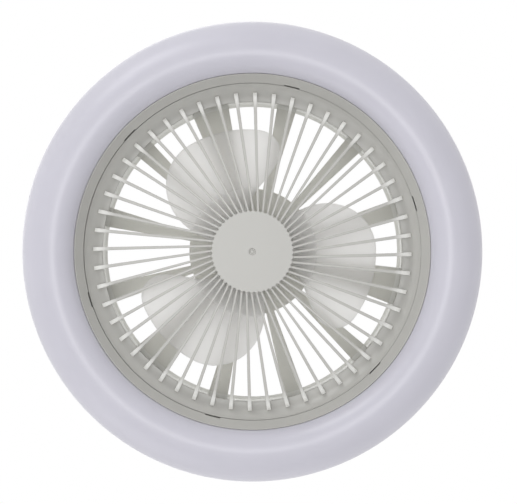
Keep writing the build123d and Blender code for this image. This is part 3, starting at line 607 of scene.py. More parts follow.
def milky_ring():
    """Milky plastic of the light ring: satin, faintly see-into, with a wandering sheen."""
    base = tuple(settings("colours").milky)
    material, _, shader = moulded("milky_ring", base, 0.36, 0.6 * MM, 0.006 * MM, 0.012)
    shader.inputs["Subsurface Weight"].default_value = 0.12
    shader.inputs["Subsurface Radius"].default_value = (1.0, 1.0, 1.0)
    shader.inputs["Subsurface Scale"].default_value = 3 * MM
    shader.inputs["Coat Weight"].default_value = 0.12
    shader.inputs["Coat Roughness"].default_value = 0.28
    return material


def grey_plastic():
    """Silver-grey plastic of the frame, a shade darker than the grille, with the mould's fine grain."""
    base = scaled(settings("colours").grey, 0.96)
    return plastic("grey_plastic", base, 0.46, 0.35, 0.010)


def grille_plastic():
    """The same plastic in the grille, a little glossier, with a painted highlight: paler towards the ribs'
    ends, where their bent-back ends catch the light.

    The painted highlight covers the faces in front of the dish, by object coordinates. The colour changes
    gradually, from 10 mm before a rib's end to 3 mm before it.
    """
    base = tuple(settings("colours").grey)
    sizes = settings("grille")
    material, tree, shader = moulded("grille_plastic", base, 0.34, 0.35 * MM, 0.008 * MM)
    end = well_radius() - sizes.rib_end
    along = mapped(tree, axis_distance(tree), end - 10 * MM, end - 3 * MM, 0.0, 1.0)
    depth = add_node(tree, "ShaderNodeSeparateXYZ", {0: object_place(tree)}).outputs["Z"]
    rear = FRONT + sizes.front + sizes.shoulder_drop + sizes.end_drop + 0.9 * MM
    # Painted highlight: the rib ends in front of the dish are tinted near white, standing in for the light
    # their curved ends catch
    painted_highlight_front = maths(tree, "MULTIPLY", along, maths(tree, "LESS_THAN", depth, rear))
    pale = maths(tree, "MULTIPLY", painted_highlight_front, between_radii(tree, 0, end + 0.4 * MM))
    tree.links.new(tint(tree, pale, base, (0.93, 0.93, 0.90)), shader.inputs["Base Color"])
    return material


def cage_plastic():
    """Pale plastic of the rear cage, with painted light in the thin lip of its windows: whiter there,
    standing in for light from behind shining through the thin lip, and glossier.
    """
    sizes = settings("body")
    window = well_radius() - sizes.ledge
    base = tuple(settings("colours").cage)
    material, tree, shader = moulded("cage_plastic", base, 0.5, 0.4 * MM, 0.010 * MM)
    lip = between_radii(tree, window - sizes.lip - 0.1 * MM, window + 0.1 * MM)
    # Painted light: the window lip is tinted near white, standing in for backlight glowing through the
    # thin plastic
    tree.links.new(tint(tree, lip, base, (0.86, 0.86, 0.82)), shader.inputs["Base Color"])
    tree.links.new(lip, shader.inputs["Coat Weight"])
    shader.inputs["Coat Roughness"].default_value = 0.12
    return material


def blade_plastic():
    """Thin milky plastic of the blades: light from behind spreads through it."""
    base = tuple(settings("colours").blade)
    material, tree, shader = moulded("blade_plastic", base, 0.34, 0.5 * MM, 0.005 * MM, 0.01)
    near_hub = between_radii(tree, 0, settings("body").hub)
    tree.links.new(mapped(tree, near_hub, 0.0, 1.0, 0.5, 0.9), shader.inputs["Alpha"])
    through = add_node(tree, "ShaderNodeBsdfTranslucent", {"Color": (*scaled(base, 1.05), 1.0)})
    inputs = {"Fac": 0.55, 1: shader.outputs[0], 2: through.outputs[0]}
    blend = add_node(tree, "ShaderNodeMixShader", inputs)
    tree.links.new(blend.outputs[0], tree.nodes["Material Output"].inputs["Surface"])
    return material


def white_plastic():
    """White plastic of the light pan and the neck."""
    base = tuple(settings("colours").white)
    return plastic("white_plastic", base, 0.42, 0.4, 0.009, 0.015)


def thread_metal():
    """Bright plated shell of the cap, with rolling marks round the axis."""
    return metal("plated_shell", (0.62, 0.61, 0.59), 0.22, (0.4, 0.4, 3.0))


# Operators, one for each piece or group of like pieces


class BuildDiffuser(bpy.types.Operator):
    """Milky light ring: a closed section turned about the axis."""

    bl_idname = "fan_light.diffuser"
    bl_label = "Light ring"

    def execute(self, context):
        sizes = settings("ring")
        crest = OVERALL_RADIUS - sizes.nose
        lip_radius = well_radius() + sizes.slope + SEAT_GAP
        inner_edge = (lip_radius, sizes.inner_drop)
        rear_edge = (OVERALL_RADIUS - sizes.tuck, sizes.side_depth)
        inner_nose = tangent_arc((crest, 0), inner_edge, (-1, 0), 18)[::-1]
        outer_nose = tangent_arc((crest, 0), (OVERALL_RADIUS, sizes.nose), (1, 0), 26)
        side = tangent_arc((OVERALL_RADIUS, sizes.nose), rear_edge, (0, 1), 10)
        skin = np.concatenate((inner_nose, outer_nose[1:], side[1:]))
        hidden = inset(skin, sizes.wall)
        hidden[0] = (lip_radius + sizes.wall, hidden[0, 1])
        lip_end = sizes.inner_drop + RING_LIP
        lip = np.array(((lip_radius + sizes.wall, lip_end), (lip_radius, lip_end)))
        shell = turned(np.concatenate((skin, hidden[::-1], lip)), 288)
        piece("light_ring", [(shell, True)], milky_ring(), "lamp", ["diffuser"])
        return {"FINISHED"}


class BuildFrame(bpy.types.Operator):
    """Grey inner frame: sloping ring, bayonet lip with notches, well wall and screw bosses."""

    bl_idname = "fan_light.frame"
    bl_label = "Inner frame"

    def execute(self, context):
        sizes = settings("ring")
        well = well_radius()
        rim = well + sizes.slope + EDGE_EASE
        top = sizes.inner_drop + SEAT_GAP
        seat = top + RING_LIP
        flat, flange = 0.6 * MM, rim + WALL + SEAT_GAP
        lip_rear = sizes.lip_depth + sizes.lip_height
        groove, groove_rear = well + sizes.groove, lip_rear + 7 * MM

        def outline(cut):
            """Section of the frame with its lip cut back by a share of the groove."""
            lip = well + cut * sizes.groove
            slope_share = cut * sizes.groove / (sizes.slope - flat)
            lip_front = sizes.lip_depth - slope_share * (sizes.lip_depth - top)
            corners = (
                (rim, top),
                (rim - flat, top),
                (lip, lip_front),
                (lip, lip_rear),
                (groove, lip_rear),
                (groove, groove_rear),
                (well, groove_rear),
                (well, CAGE_FRONT),
                (well + WALL, CAGE_FRONT),
                (well + WALL, groove_rear + WALL),
                (groove + WALL, groove_rear),
                (groove + WALL, seat + WALL),
                (flange, seat + WALL),
                (flange, seat),
                (rim, seat),
            )
            return rounded(corners, 0.25 * MM, 3)

        angles, notched = notch_angles(sizes.notches, sizes.notch / 2)
        plain = outline(0.0)
        sections = plain + notched * (outline(sizes.notch_cut) - plain)
        boss, boss_rear = 3.4 * MM, CAGE_FRONT - WALL
        bore, bore_end = 1.55 * MM, boss_rear - 14 * MM
        boss_outline = (
            (bore, boss_rear),
            (boss, boss_rear),
            (boss, seat + WALL),
            (0, seat + WALL),
            (0, bore_end),
            (bore, bore_end),
        )
        shells = [(turned(sections, 0, angles), True)]
        shells += [standing(boss_outline, place) for place in frame_screw_places()]
        piece("fan_well_frame", shells, grey_plastic(), "lamp", ["inner_frame"])
        return {"FINISHED"}


class BuildGrille(bpy.types.Operator):
    """Front grille: swirled ribs from a scalloped disc to a dished ring with tabs."""

    bl_idname = "fan_light.grille"
    bl_label = "Front grille"

    # Depth and half the angle of a bayonet tab, and the turn of the tabs past the notches
    tab_height = 2.2 * MM
    tab_half, twist = math.radians(2.2), math.radians(7.0)

    def ring(self, sizes, outer):
        """Dished ring and skirt, its tabs a second outline used at their angles."""
        lip_depth = settings("ring").lip_depth
        inner = outer - sizes.dish_width
        dish_depth = lip_depth + sizes.dish_depth
        rear = dish_depth + sizes.skirt
        tab_front = lip_depth + settings("ring").lip_height + SEAT_GAP
        tab_rear = tab_front + self.tab_height
        dish = tangent_arc((inner, dish_depth), (outer, lip_depth), (1, 0), 14)

        def outline(reach):
            """Section of the ring with its tab standing out by the given reach."""
            behind = (
                (outer, tab_front),
                (outer + reach, tab_front),
                (outer + reach, tab_rear),
                (outer, tab_rear),
                (outer, rear),
                (outer - sizes.wall, rear),
                (outer - sizes.wall, dish_depth - sizes.wall),
                (inner + sizes.dish_width / 2, rear),
                (inner, rear),
            )
            corners = np.concatenate((dish, behind))
            radii = np.full(len(corners), 0.3 * MM)
            radii[1 : len(dish) - 1] = 0
            return rounded(corners, radii, 3)

        angles, tabbed = notch_angles(settings("ring").notches, self.tab_half, self.twist)
        flush = outline(0.02 * MM)
        return turned(flush + tabbed * (outline(sizes.tab_reach) - flush), 0, angles)

    def disc(self, sizes):
        """Centre disc whose rim runs out to each rib and back to a round hollow between.

        The rim's radius grows by a - sqrt(a^2 - u^2) towards the ribs, u being the distance
        from the middle of a gap and a half the gap's width.
        """
        per_rib = 14
        angles = np.arange(sizes.ribs * per_rib) * 2 * math.pi / (sizes.ribs * per_rib)
        lean = math.asin(sizes.swirl / sizes.disc_radius)
        phase = (angles - sizes.phase - lean) * sizes.ribs / (2 * math.pi)
        share = np.abs((phase % 1.0) - 0.5) * 2
        gap = math.pi * sizes.disc_radius / sizes.ribs - sizes.inner_width / 2
        beside = np.clip(share * math.pi * sizes.disc_radius / sizes.ribs / gap, 0, 1)
        growth = gap * (1 - np.sqrt(np.clip(1 - beside**2, 0, 1)))
        front, rear = sizes.disc_front, sizes.disc_front + sizes.disc_thickness
        rim = sizes.disc_radius
        dimple = sizes.dimple
        corners = (
            (0, front + 0.45 * MM),
            (0.3 * dimple, front + 0.5 * MM),
            (0.6 * dimple, front + 0.8 * MM),
            (0.75 * dimple, front + 0.8 * MM),
            (dimple, front),
            (rim, front),
            (rim, rear + 1.6 * MM),
            (rim - 2 * MM, rear + 1.6 * MM),
            (rim - 2 * MM, rear),
            (0, rear),
        )
        radii = np.array((0, 0.2, 0.2, 0.2, 0.15, 0.55, 0.2, 0.2, 0.2, 0)) * MM
        outline = rounded(corners, radii, 5)
        reach = np.clip((outline[:, 0] - (rim - 1.9 * MM)) / (1.9 * MM), 0, 1)
        sections = np.broadcast_to(outline, (len(angles),) + outline.shape).copy()
        sections[..., 0] += growth[:, None] * reach[None, :]
        return turned(sections, 0, angles)

    def ribs(self, sizes, outer):
        """All ribs at once: rounded sections carried along a front and a rear curve."""
        end = outer - sizes.rib_end
        start = sizes.disc_radius - sizes.wall
        dish_depth = settings("ring").lip_depth + sizes.dish_depth
        shoulder = np.array((sizes.shoulder_radius, sizes.front + sizes.shoulder_drop))
        rear_shoulder = shoulder + (-sizes.height / 2, sizes.height)
        rear_end = (end, dish_depth + sizes.skirt / 2)
        straight = np.linspace(0, 1, 6)[:-1, None]
        front_bend = tangent_arc(shoulder, shoulder + (end - shoulder[0], sizes.end_drop), (1, 0), 14)
        rear_bend = tangent_arc(rear_shoulder, rear_end, (1, 0), 14)
        root = np.array((start, sizes.front))
        front = np.concatenate((root * (1 - straight) + shoulder * straight, front_bend))
        rear_root = root + (0, sizes.height)
        rear = np.concatenate((rear_root * (1 - straight) + rear_shoulder * straight, rear_bend))
        share = (front[:, 0] - start) / (end - start)
        flared = np.clip((front[:, 0] - shoulder[0]) / (0.6 * (end - shoulder[0])), 0, 1) ** 2
        widening = sizes.outer_width - sizes.inner_width
        width = sizes.inner_width + share * widening + sizes.flare * flared
        middle, through_line = (front + rear) / 2, rear - front
        height = np.linalg.norm(through_line, axis=1)
        across, through = bar_sections(width / 2, height / 2, 0.3 * MM)
        section = middle[:, None] + (through_line / height[:, None])[:, None] * through[..., None]
        rib = np.stack((section[..., 0], sizes.swirl + across, section[..., 1] + FRONT), -1)
        rib = capped(rib)
        angles = sizes.phase + np.arange(sizes.ribs) * 2 * math.pi / sizes.ribs
        return around(rib, angles)

    def execute(self, context):
        sizes = settings("grille")
        outer = well_radius() - EDGE_EASE
        slack = polar(0.12 * MM, settings("studio").roll)
        ring = self.ring(sizes, outer) + np.array((*slack, 0.0))
        shells = [(ring, True), (self.disc(sizes), True)]
        shells += [(rib, False) for rib in self.ribs(sizes, outer)]
        piece("swirl_grille", shells, grille_plastic(), "grille", ["front_grille"])
        return {"FINISHED"}


class BuildImpeller(bpy.types.Operator):
    """Impeller: hub cup and three broad petals on a shallow screw surface."""

    bl_idname = "fan_light.impeller"
    bl_label = "Impeller"

    # Petal outline, leading and trailing edge: angle in degrees, share of the way to the tip
    leading = ((24.0, -0.02), (34.5, 0.34), (43.5, 0.63), (42.0, 0.85), (30.0, 0.985))
    trailing = ((-47.0, -0.02), (-43.0, 0.32), (-35.0, 0.6), (-21.0, 0.88), (-5.0, 1.0))
    half_sweep = math.radians(54.0)

    def edge(self, knots, at):
        """Angle and share at each step of an edge: a quartic through its five knots."""
        plan = np.array(knots) * (math.radians(1), 1)
        chords = np.linalg.norm(np.diff(plan, axis=0), axis=1)
        knot_at = np.concatenate(((0,), np.cumsum(chords))) / chords.sum()
        return [np.polyval(np.polyfit(knot_at, plan[:, k], 4), at)[:, None] for k in (0, 1)]

    def petal(self, sizes):
        """One blade as closed rings from root to tip.

        Round a ring the place across runs from the leading edge to the trailing one and back,
        and the angle and radius run between the two edges. The depth rises evenly with the
        angle, with a bow of four times the camber times s (1 - s). Half the thickness falls to
        nothing at both edges, as the root of one minus the eighth power, and at the tip.
        """
        at = np.concatenate(((0.0,), np.sin(np.linspace(0, math.pi / 2, 32))))
        ring = np.linspace(0, 2 * math.pi, 88, endpoint=False)
        across, side = (1 - np.cos(ring)) / 2, np.sign(np.sin(ring))
        (lead_angle, lead_share), (trail_angle, trail_share) = (
            self.edge(knots, at) for knots in (self.leading, self.trailing)
        )
        angle = lead_angle + (trail_angle - lead_angle) * across
        share = lead_share + (trail_share - lead_share) * across
        share = share + 0.03 * at[:, None] ** 3 * across * (1 - across)
        radius = sizes.hub + share * (sizes.tip - sizes.hub)
        place = (angle / self.half_sweep + 1) / 2
        depth = sizes.front + (sizes.rear - sizes.front) * place + 4 * sizes.camber * place * (1 - place)
        to_tip = np.clip((1 - at) * 14, 0, 1)[:, None]
        full = np.sqrt(np.clip(1 - np.abs(2 * across - 1) ** 8, 0, 1)) * np.sqrt(to_tip * (2 - to_tip))
        full[0] = 0
        depth = depth + side * full * sizes.thickness / 2
        return np.stack((radius * np.cos(angle), radius * np.sin(angle), depth + FRONT), -1)

    def execute(self, context):
        sizes = settings("fan")
        front, rear, hub, wall = sizes.hub_front, sizes.hub_rear, sizes.hub, sizes.hub_wall
        corners = (
            (0, front),
            (hub, front),
            (hub, rear),
            (hub - wall, rear),
            (hub - wall, front + wall),
            (0, front + wall),
        )
        cup = rounded(corners, np.array((0, 3.0, 0.5, 0.5, 0.6, 0)) * MM, 8)
        angles = sizes.phase + np.arange(3) * 2 * math.pi / 3
        shells = [(turned(cup, 160), True)]
        shells += [(blade, False) for blade in around(self.petal(sizes), angles)]
        piece("three_petal_fan", shells, blade_plastic(), "rotor", ["impeller"], 50.0)
        return {"FINISHED"}


class BuildCage(bpy.types.Operator):
    """Rear cage: hub plate with collar, twelve tapered arms and the outer ring."""

    bl_idname = "fan_light.cage"
    bl_label = "Rear cage"

    # Angles of the wide arms, one in four, and of the others
    wide_arm, plain_arm = 14.4, 7.5

    def arms(self, sizes, window):
        """Arms whose half width is the radius times the tangent of half their angle."""
        radius = np.linspace(sizes.hub - 2.5 * MM, window + 2 * MM, 12)
        half_height = np.full(12, (CAGE_REAR - CAGE_FRONT) / 2 - 0.03 * MM)
        shells = []
        for arm in range(12):
            half_angle = math.radians(self.wide_arm if arm % 4 == 3 else self.plain_arm) / 2
            across, through = bar_sections(radius * math.tan(half_angle), half_height, 0.6 * MM)
            depth = FRONT + (CAGE_FRONT + CAGE_REAR) / 2 + through
            rows = capped(np.stack((radius[:, None] + 0 * across, across, depth), -1))
            shells.append((around(rows, arm * math.pi / 6)[0], False))
        return shells

    def hub(self, sizes):
        """Hub plate with the bearing boss in front and the neck's collar behind."""
        collar, collar_end = sizes.hub - WALL - SEAT_GAP, CAGE_REAR + 6 * MM
        inner_collar = collar - 1.8 * MM
        seat, boss, boss_front = 6.52 * MM, 9 * MM, CAGE_FRONT - 2.5 * MM
        corners = (
            (0, CAGE_FRONT + 3 * MM),
            (seat, CAGE_FRONT + 3 * MM),
            (seat, boss_front),
            (boss, boss_front),
            (boss, CAGE_FRONT),
            (sizes.hub, CAGE_FRONT),
            (sizes.hub, CAGE_REAR),
            (collar, CAGE_REAR),
            (collar, collar_end),
            (inner_collar, collar_end),
            (inner_collar, CAGE_REAR),
            (0, CAGE_REAR),
        )
        radii = np.array((0, 0.1, 0.3, 0.3, 0.4, 0.6, 0.3, 0.1, 0.2, 0.2, 0.1, 0)) * MM
        return turned(rounded(corners, radii), 192), True

    def execute(self, context):
        sizes = settings("body")
        well = well_radius()
        window, edge = well - sizes.ledge, well + sizes.flange
        lip = tangent_arc((window, CAGE_FRONT), (window - sizes.lip, CAGE_REAR), (0, 1), 10)
        corners = np.concatenate((lip, ((edge, CAGE_REAR), (edge, CAGE_FRONT))))
        radii = np.zeros(len(corners))
        radii[[0, len(lip) - 1, -2, -1]] = 0.35 * MM
        bosses, boss_end = thirds(26.5 * MM), CAGE_REAR + 6 * MM
        shells = [(turned(rounded(corners, radii, 3), 240), True), self.hub(sizes)]
        shells += self.arms(sizes, window)
        shells += [peg(3 * MM, CAGE_REAR - 0.5 * MM, boss_end, place) for place in bosses]
        cage = piece("window_cage", shells, cage_plastic(), "lamp", ["rear_cage"])
        holes = []
        for place in frame_screw_places():
            holes.append(peg(3.1 * MM, SCREW_SEAT, CAGE_REAR + 0.5 * MM, place, 0.9 * MM))
            holes.append(peg(SCREW_BORE, CAGE_FRONT - PAST, CAGE_REAR - 1 * MM, place))
        holes += [peg(BOARD_BORE, CAGE_REAR, boss_end + PAST, place) for place in bosses]
        half, start, end = TUNNEL_HALF, 27 * MM, edge - 1.7 * MM
        floor, roof = CAGE_FRONT + 1.3 * MM, CAGE_FRONT + 4.7 * MM
        slot, slot_near, slot_far = 3.5 * MM, -10.5 * MM, -13.5 * MM
        holes += [
            block((-half, start, floor), (half, end, roof)),
            block((-half, start, floor + PAST), (half, start + 5.8 * MM, CAGE_REAR + PAST)),
            block((-half, end - 5 * MM, CAGE_FRONT - PAST), (half, end, roof - PAST)),
            block((-slot, slot_far, CAGE_FRONT - PAST), (slot, slot_near, CAGE_REAR + PAST)),
        ]
        drill(cage, holes)
        return {"FINISHED"}


class BuildPan(bpy.types.Operator):
    """Light pan: a shallow tray with a step for the cage and a rim inside the light ring."""

    bl_idname = "fan_light.pan"
    bl_label = "Light pan"

    def execute(self, context):
        ring = settings("ring")
        well = well_radius()
        step = well + settings("body").flange + SEAT_GAP
        inner, lip = well + WALL + SEAT_GAP, OVERALL_RADIUS - ring.tuck
        rim, front = lip - 2.2 * MM, CAGE_FRONT - WALL
        floor, rear = CAGE_FRONT + 2.5 * MM, CAGE_FRONT + 4.5 * MM
        lip_front = ring.side_depth + SEAT_GAP
        rim_front = lip_front - 9.3 * MM
        back = tangent_arc((lip - 5.1 * MM, rear), (lip, lip_front + WALL), (1, 0), 10)[::-1]
        rim_side = (
            (step + WALL, front),
            (step + WALL, floor),
            (rim - WALL, floor),
            (rim - WALL, rim_front),
            (rim, rim_front),
            (rim, lip_front),
            (lip, lip_front),
        )
        step_side = ((step, rear), (step, CAGE_FRONT), (inner, CAGE_FRONT), (inner, front))
        corners = np.concatenate((rim_side, back, step_side))
        radii = np.full(len(corners), 0.3 * MM)
        radii[8 : 6 + len(back)] = 0
        shells = [(turned(rounded(corners, radii, 3), 288), True)]
        pan = piece("light_tray", shells, white_plastic(), "lamp", ["light_pan"])
        board_screws = thirds((step + rim) / 2)
        holes = [peg(SCREW_BORE, front - PAST, CAGE_FRONT + PAST, place) for place in frame_screw_places()]
        holes += [peg(BOARD_BORE, floor - PAST, rear + PAST, place) for place in board_screws]
        half, end = TUNNEL_HALF, step - WALL
        holes.append(block((-half, end - 5 * MM, front - PAST), (half, end, CAGE_FRONT + PAST)))
        drill(pan, holes)
        return {"FINISHED"}


class BuildNeck(bpy.types.Operator):
    """Hollow tapered neck that holds the driver and carries the cap on its spigot."""

    bl_idname = "fan_light.neck"
    bl_label = "Neck"

    def execute(self, context):
        sizes = settings("body")
        base, wall = CAGE_REAR + SEAT_GAP, WALL
        top, end = -FRONT, -FRONT + 15 * MM
        foot = (sizes.hub, base + 8 * MM)
        turn = np.linspace(0, sizes.taper, 20)[:, None]
        centre = np.array((foot[0] - sizes.shoulder, foot[1]))
        shoulder = centre + sizes.shoulder * np.concatenate((np.cos(turn), np.sin(turn)), 1)
        waist_depth = shoulder[-1, 1] + (shoulder[-1, 0] - sizes.waist) / math.tan(sizes.taper)
        bend = 5 * MM
        waist = np.array((sizes.waist, waist_depth))
        down = np.array((math.sin(sizes.taper), -math.cos(sizes.taper)))
        rise = np.array((sizes.neck_top - sizes.waist, top - waist_depth))
        rise = rise / np.linalg.norm(rise)
        curve = np.linspace(0, 1, 12)[:, None]
        soft = waist + bend * ((1 - curve) ** 2 * down + curve**2 * rise)
        spigot = sizes.cap - sizes.thread - 0.6 * MM
        skin = np.concatenate((((sizes.hub, base),), shoulder, soft))
        edge = 0.6 * MM
        brow = ((sizes.neck_top, top - edge), (sizes.neck_top - edge, top), (spigot, top))
        outside = np.concatenate((skin, brow, ((spigot, end - edge), (spigot - edge, end), (0, end))))
        hidden = inset(skin, wall)
        hidden[0, 1] = base
        inside = np.concatenate(
            (
                ((0, end - wall), (spigot - wall, end - wall), (spigot - wall, top - wall)),
                ((sizes.neck_top - wall, top - wall),),
                hidden[::-1],
            )
        )
        neck = turned(np.concatenate((outside, inside)), 192)
        piece("tapered_neck", [(neck, True)], white_plastic(), "lamp", ["driver_housing"])
        return {"FINISHED"}


class BuildCap(bpy.types.Operator):
    """Screw cap: rolled thread, black insulator and brass end contact."""

    bl_idname = "fan_light.cap"
    bl_label = "Screw cap"

    def execute(self, context):
        self.shell()
        self.insulator()
        self.contact()
        return {"FINISHED"}

    def shell(self):
        """Thin metal shell rolled to a thread.

        The radius is the outline's, less the thread depth times half of one minus the cosine
        of a full turn for each pitch of height and for each turn round the axis. The thread
        fades in and out over a millimetre and a half at both ends.
        """
        sizes = settings("body")
        base, shoulder, wall = -FRONT, 20.5 * MM - FRONT, 0.5 * MM
        thread_from, thread_to, fading, crest = (value * MM for value in (2.2, 19.6, 1.5, 17.75))
        climb = np.linspace(base, shoulder - 0.8 * MM, 150)
        straight = np.stack((np.full(len(climb), sizes.cap), climb), 1)
        cone = np.array(((12.5, 20.4), (8.9, 22.85), (8.5, 23.1))) * MM + (0, base)
        skin = np.concatenate((straight, cone))
        hidden = inset(skin, wall)
        outline = np.concatenate((skin, hidden[::-1]))
        angles = np.linspace(0, 2 * math.pi, 160, endpoint=False)
        shell = turned(outline, 0, angles)
        height = outline[:, 1] - base
        fade_in = np.clip((height - thread_from) / fading, 0, 1)
        fade = fade_in * np.clip((thread_to - height) / fading, 0, 1)
        phase = 2 * math.pi * (height - crest) / sizes.pitch - angles[:, None]
        drop = sizes.thread * fade * (0.5 - 0.5 * np.cos(phase))
        shell[..., 0] -= drop * np.cos(angles)[:, None]
        shell[..., 1] -= drop * np.sin(angles)[:, None]
        piece("threaded_shell", [(shell, True)], thread_metal(), "lamp", ["lamp_cap_shell"])

    def insulator(self):
        """Black insulator: a low cone with a rounded brow, bored for the contact's stem."""
        bore, foot, mouth, top = 1.52, 21.8, 23.1, 25.5
        corners = ((bore, foot), (8.3, foot), (8.3, mouth), (5.6, top), (bore, top))
        radii = np.array((0.1, 0.2, 1.2, 0.7, 0.1)) * MM
        outline = rounded(np.array(corners) * MM, radii, 5) - (0, FRONT)
        black = plastic("black_insulator", (0.018, 0.018, 0.02), 0.24, 0.5, 0.004)
        shell = turned(outline, 96)
        piece("cap_insulator", [(shell, True)], black, "lamp", ["lamp_cap_insulator"])

    def contact(self):
        """Brass end contact: a shallow dome on a stem."""
        dome = tangent_arc((0, 27.3 * MM), (4.8 * MM, 25.5 * MM), (1, 0), 12)
        stem = np.array(((1.5, 25.5), (1.5, 20.5), (0, 20.5))) * MM
        outline = np.concatenate((dome, stem)) - (0, FRONT)
        brass = metal("cap_brass", (0.80, 0.58, 0.27), 0.28, (1, 1, 1))
        piece("end_contact", [(turned(outline, 72), True)], brass, "lamp", ["lamp_cap_contact"])


class BuildScrews(bpy.types.Operator):
    """Six pan-head screws with cross recesses that clamp cage, pan and frame."""

    bl_idname = "fan_light.screws"
    bl_label = "Frame screws"

    def execute(self, context):
        seat, shank, head = SCREW_SEAT, 1.5 * MM, 2.9 * MM
        tip = seat - 16 * MM
        dome = tangent_arc((0, seat + 1.8 * MM), (head, seat + 0.7 * MM), (1, 0), 6)[::-1]
        corners = ((0, tip), (0.5 * MM, tip), (shank, tip + 2 * MM), (shank, seat), (head, seat))
        outline = np.concatenate((corners, dome))
        places = frame_screw_places()
        shells = [standing(outline, place, 40) for place in places]
        screws = piece("frame_screw_set", shells, zinc_steel(), "lamp", ["frame_screws"])
        slots = []
        for x, y in places:
            for long, short in ((1.5, 0.36), (0.36, 1.5)):
                low = (x - long * MM, y - short * MM, seat + 0.7 * MM)
                slots.append(block(low, (x + long * MM, y + short * MM, seat + 3 * MM)))
        drill(screws, slots)
        return {"FINISHED"}


def zinc_steel():
    """Zinc-plated steel of the screws."""
    return metal("zinc_steel", (0.66, 0.67, 0.68), 0.3, (1, 1, 1), 0.8 * MM)


class FinishInside(bpy.types.Operator):
    """Finishes of the motor, driver, light board and wires, which keep their solids."""

    bl_idname = "fan_light.inside"
    bl_label = "Inside finishes"

    def finishes(self):
        """The finish of every node that stays as it comes."""
        zinc = zinc_steel()
        steel = metal("bearing_steel", (0.62, 0.62, 0.63), 0.22, (0.3, 0.3, 4.0))
        brass = metal("turned_brass", (0.78, 0.57, 0.28), 0.3, (0.3, 0.3, 4.0))
        green = circuit("green_board", (0.02, 0.13, 0.05), (0.10, 0.26, 0.08))
        ferrite = plastic("ferrite", (0.05, 0.048, 0.047), 0.62, 0.8, 0.02, 0.1)
        wire = plastic("wire_sleeve", (0.72, 0.70, 0.66), 0.45, 0.5, 0.004)
        return {
            "led_board": circuit("white_board", (0.80, 0.80, 0.78), (0.72, 0.72, 0.69)),
            "led_chips": plastic("phosphor", (0.86, 0.68, 0.16), 0.4, 0.3, 0.01, 0.06),
            "led_board_screws": zinc,
            "driver_board_screws": zinc,
            "led_wires": wire,
            "motor_wires": wire,
            "mains_wires": wire,
            "rotor_can": metal("rotor_steel", (0.50, 0.50, 0.51), 0.34, (0.3, 0.3, 4.0)),
            "rotor_magnet": ferrite,
            "transformer_core": ferrite,
            "line_inductor": ferrite,
            "rotor_bush": brass,
            "bearing_tube": brass,
            "rotor_shaft": steel,
            "front_bearing": steel,
            "rear_bearing": steel,
            "shaft_clip": plastic("clip_nylon", (0.75, 0.74, 0.68), 0.5, 0.3, 0.004),
            "stator_core": striped("core_steel", (0.42, 0.42, 0.43), 0.38, 0.5 * MM, "Z", metallic=1.0),
            "stator_insulators": plastic("insulator_plastic", (0.78, 0.77, 0.70), 0.5, 0.4, 0.01),
            "stator_windings": striped("copper_turns", (0.72, 0.30, 0.14), 0.3, 0.35 * MM, "X", 0.8, 0.5),
            "motor_board": green,
            "driver_board": green,
            "driver_capacitors": plastic("capacitor_sleeve", (0.03, 0.035, 0.09), 0.3, 0.6, 0.004),
            "transformer_winding": plastic("yellow_tape", (0.80, 0.58, 0.07), 0.4, 0.6, 0.006, 0.05),
            "led_connector": plastic("white_nylon", (0.80, 0.79, 0.74), 0.45, 0.3, 0.006),
        }

    def execute(self, context):
        for name, material in self.finishes().items():
            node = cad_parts[name]
            node.data.materials.clear()
            node.data.materials.append(material)
        return {"FINISHED"}


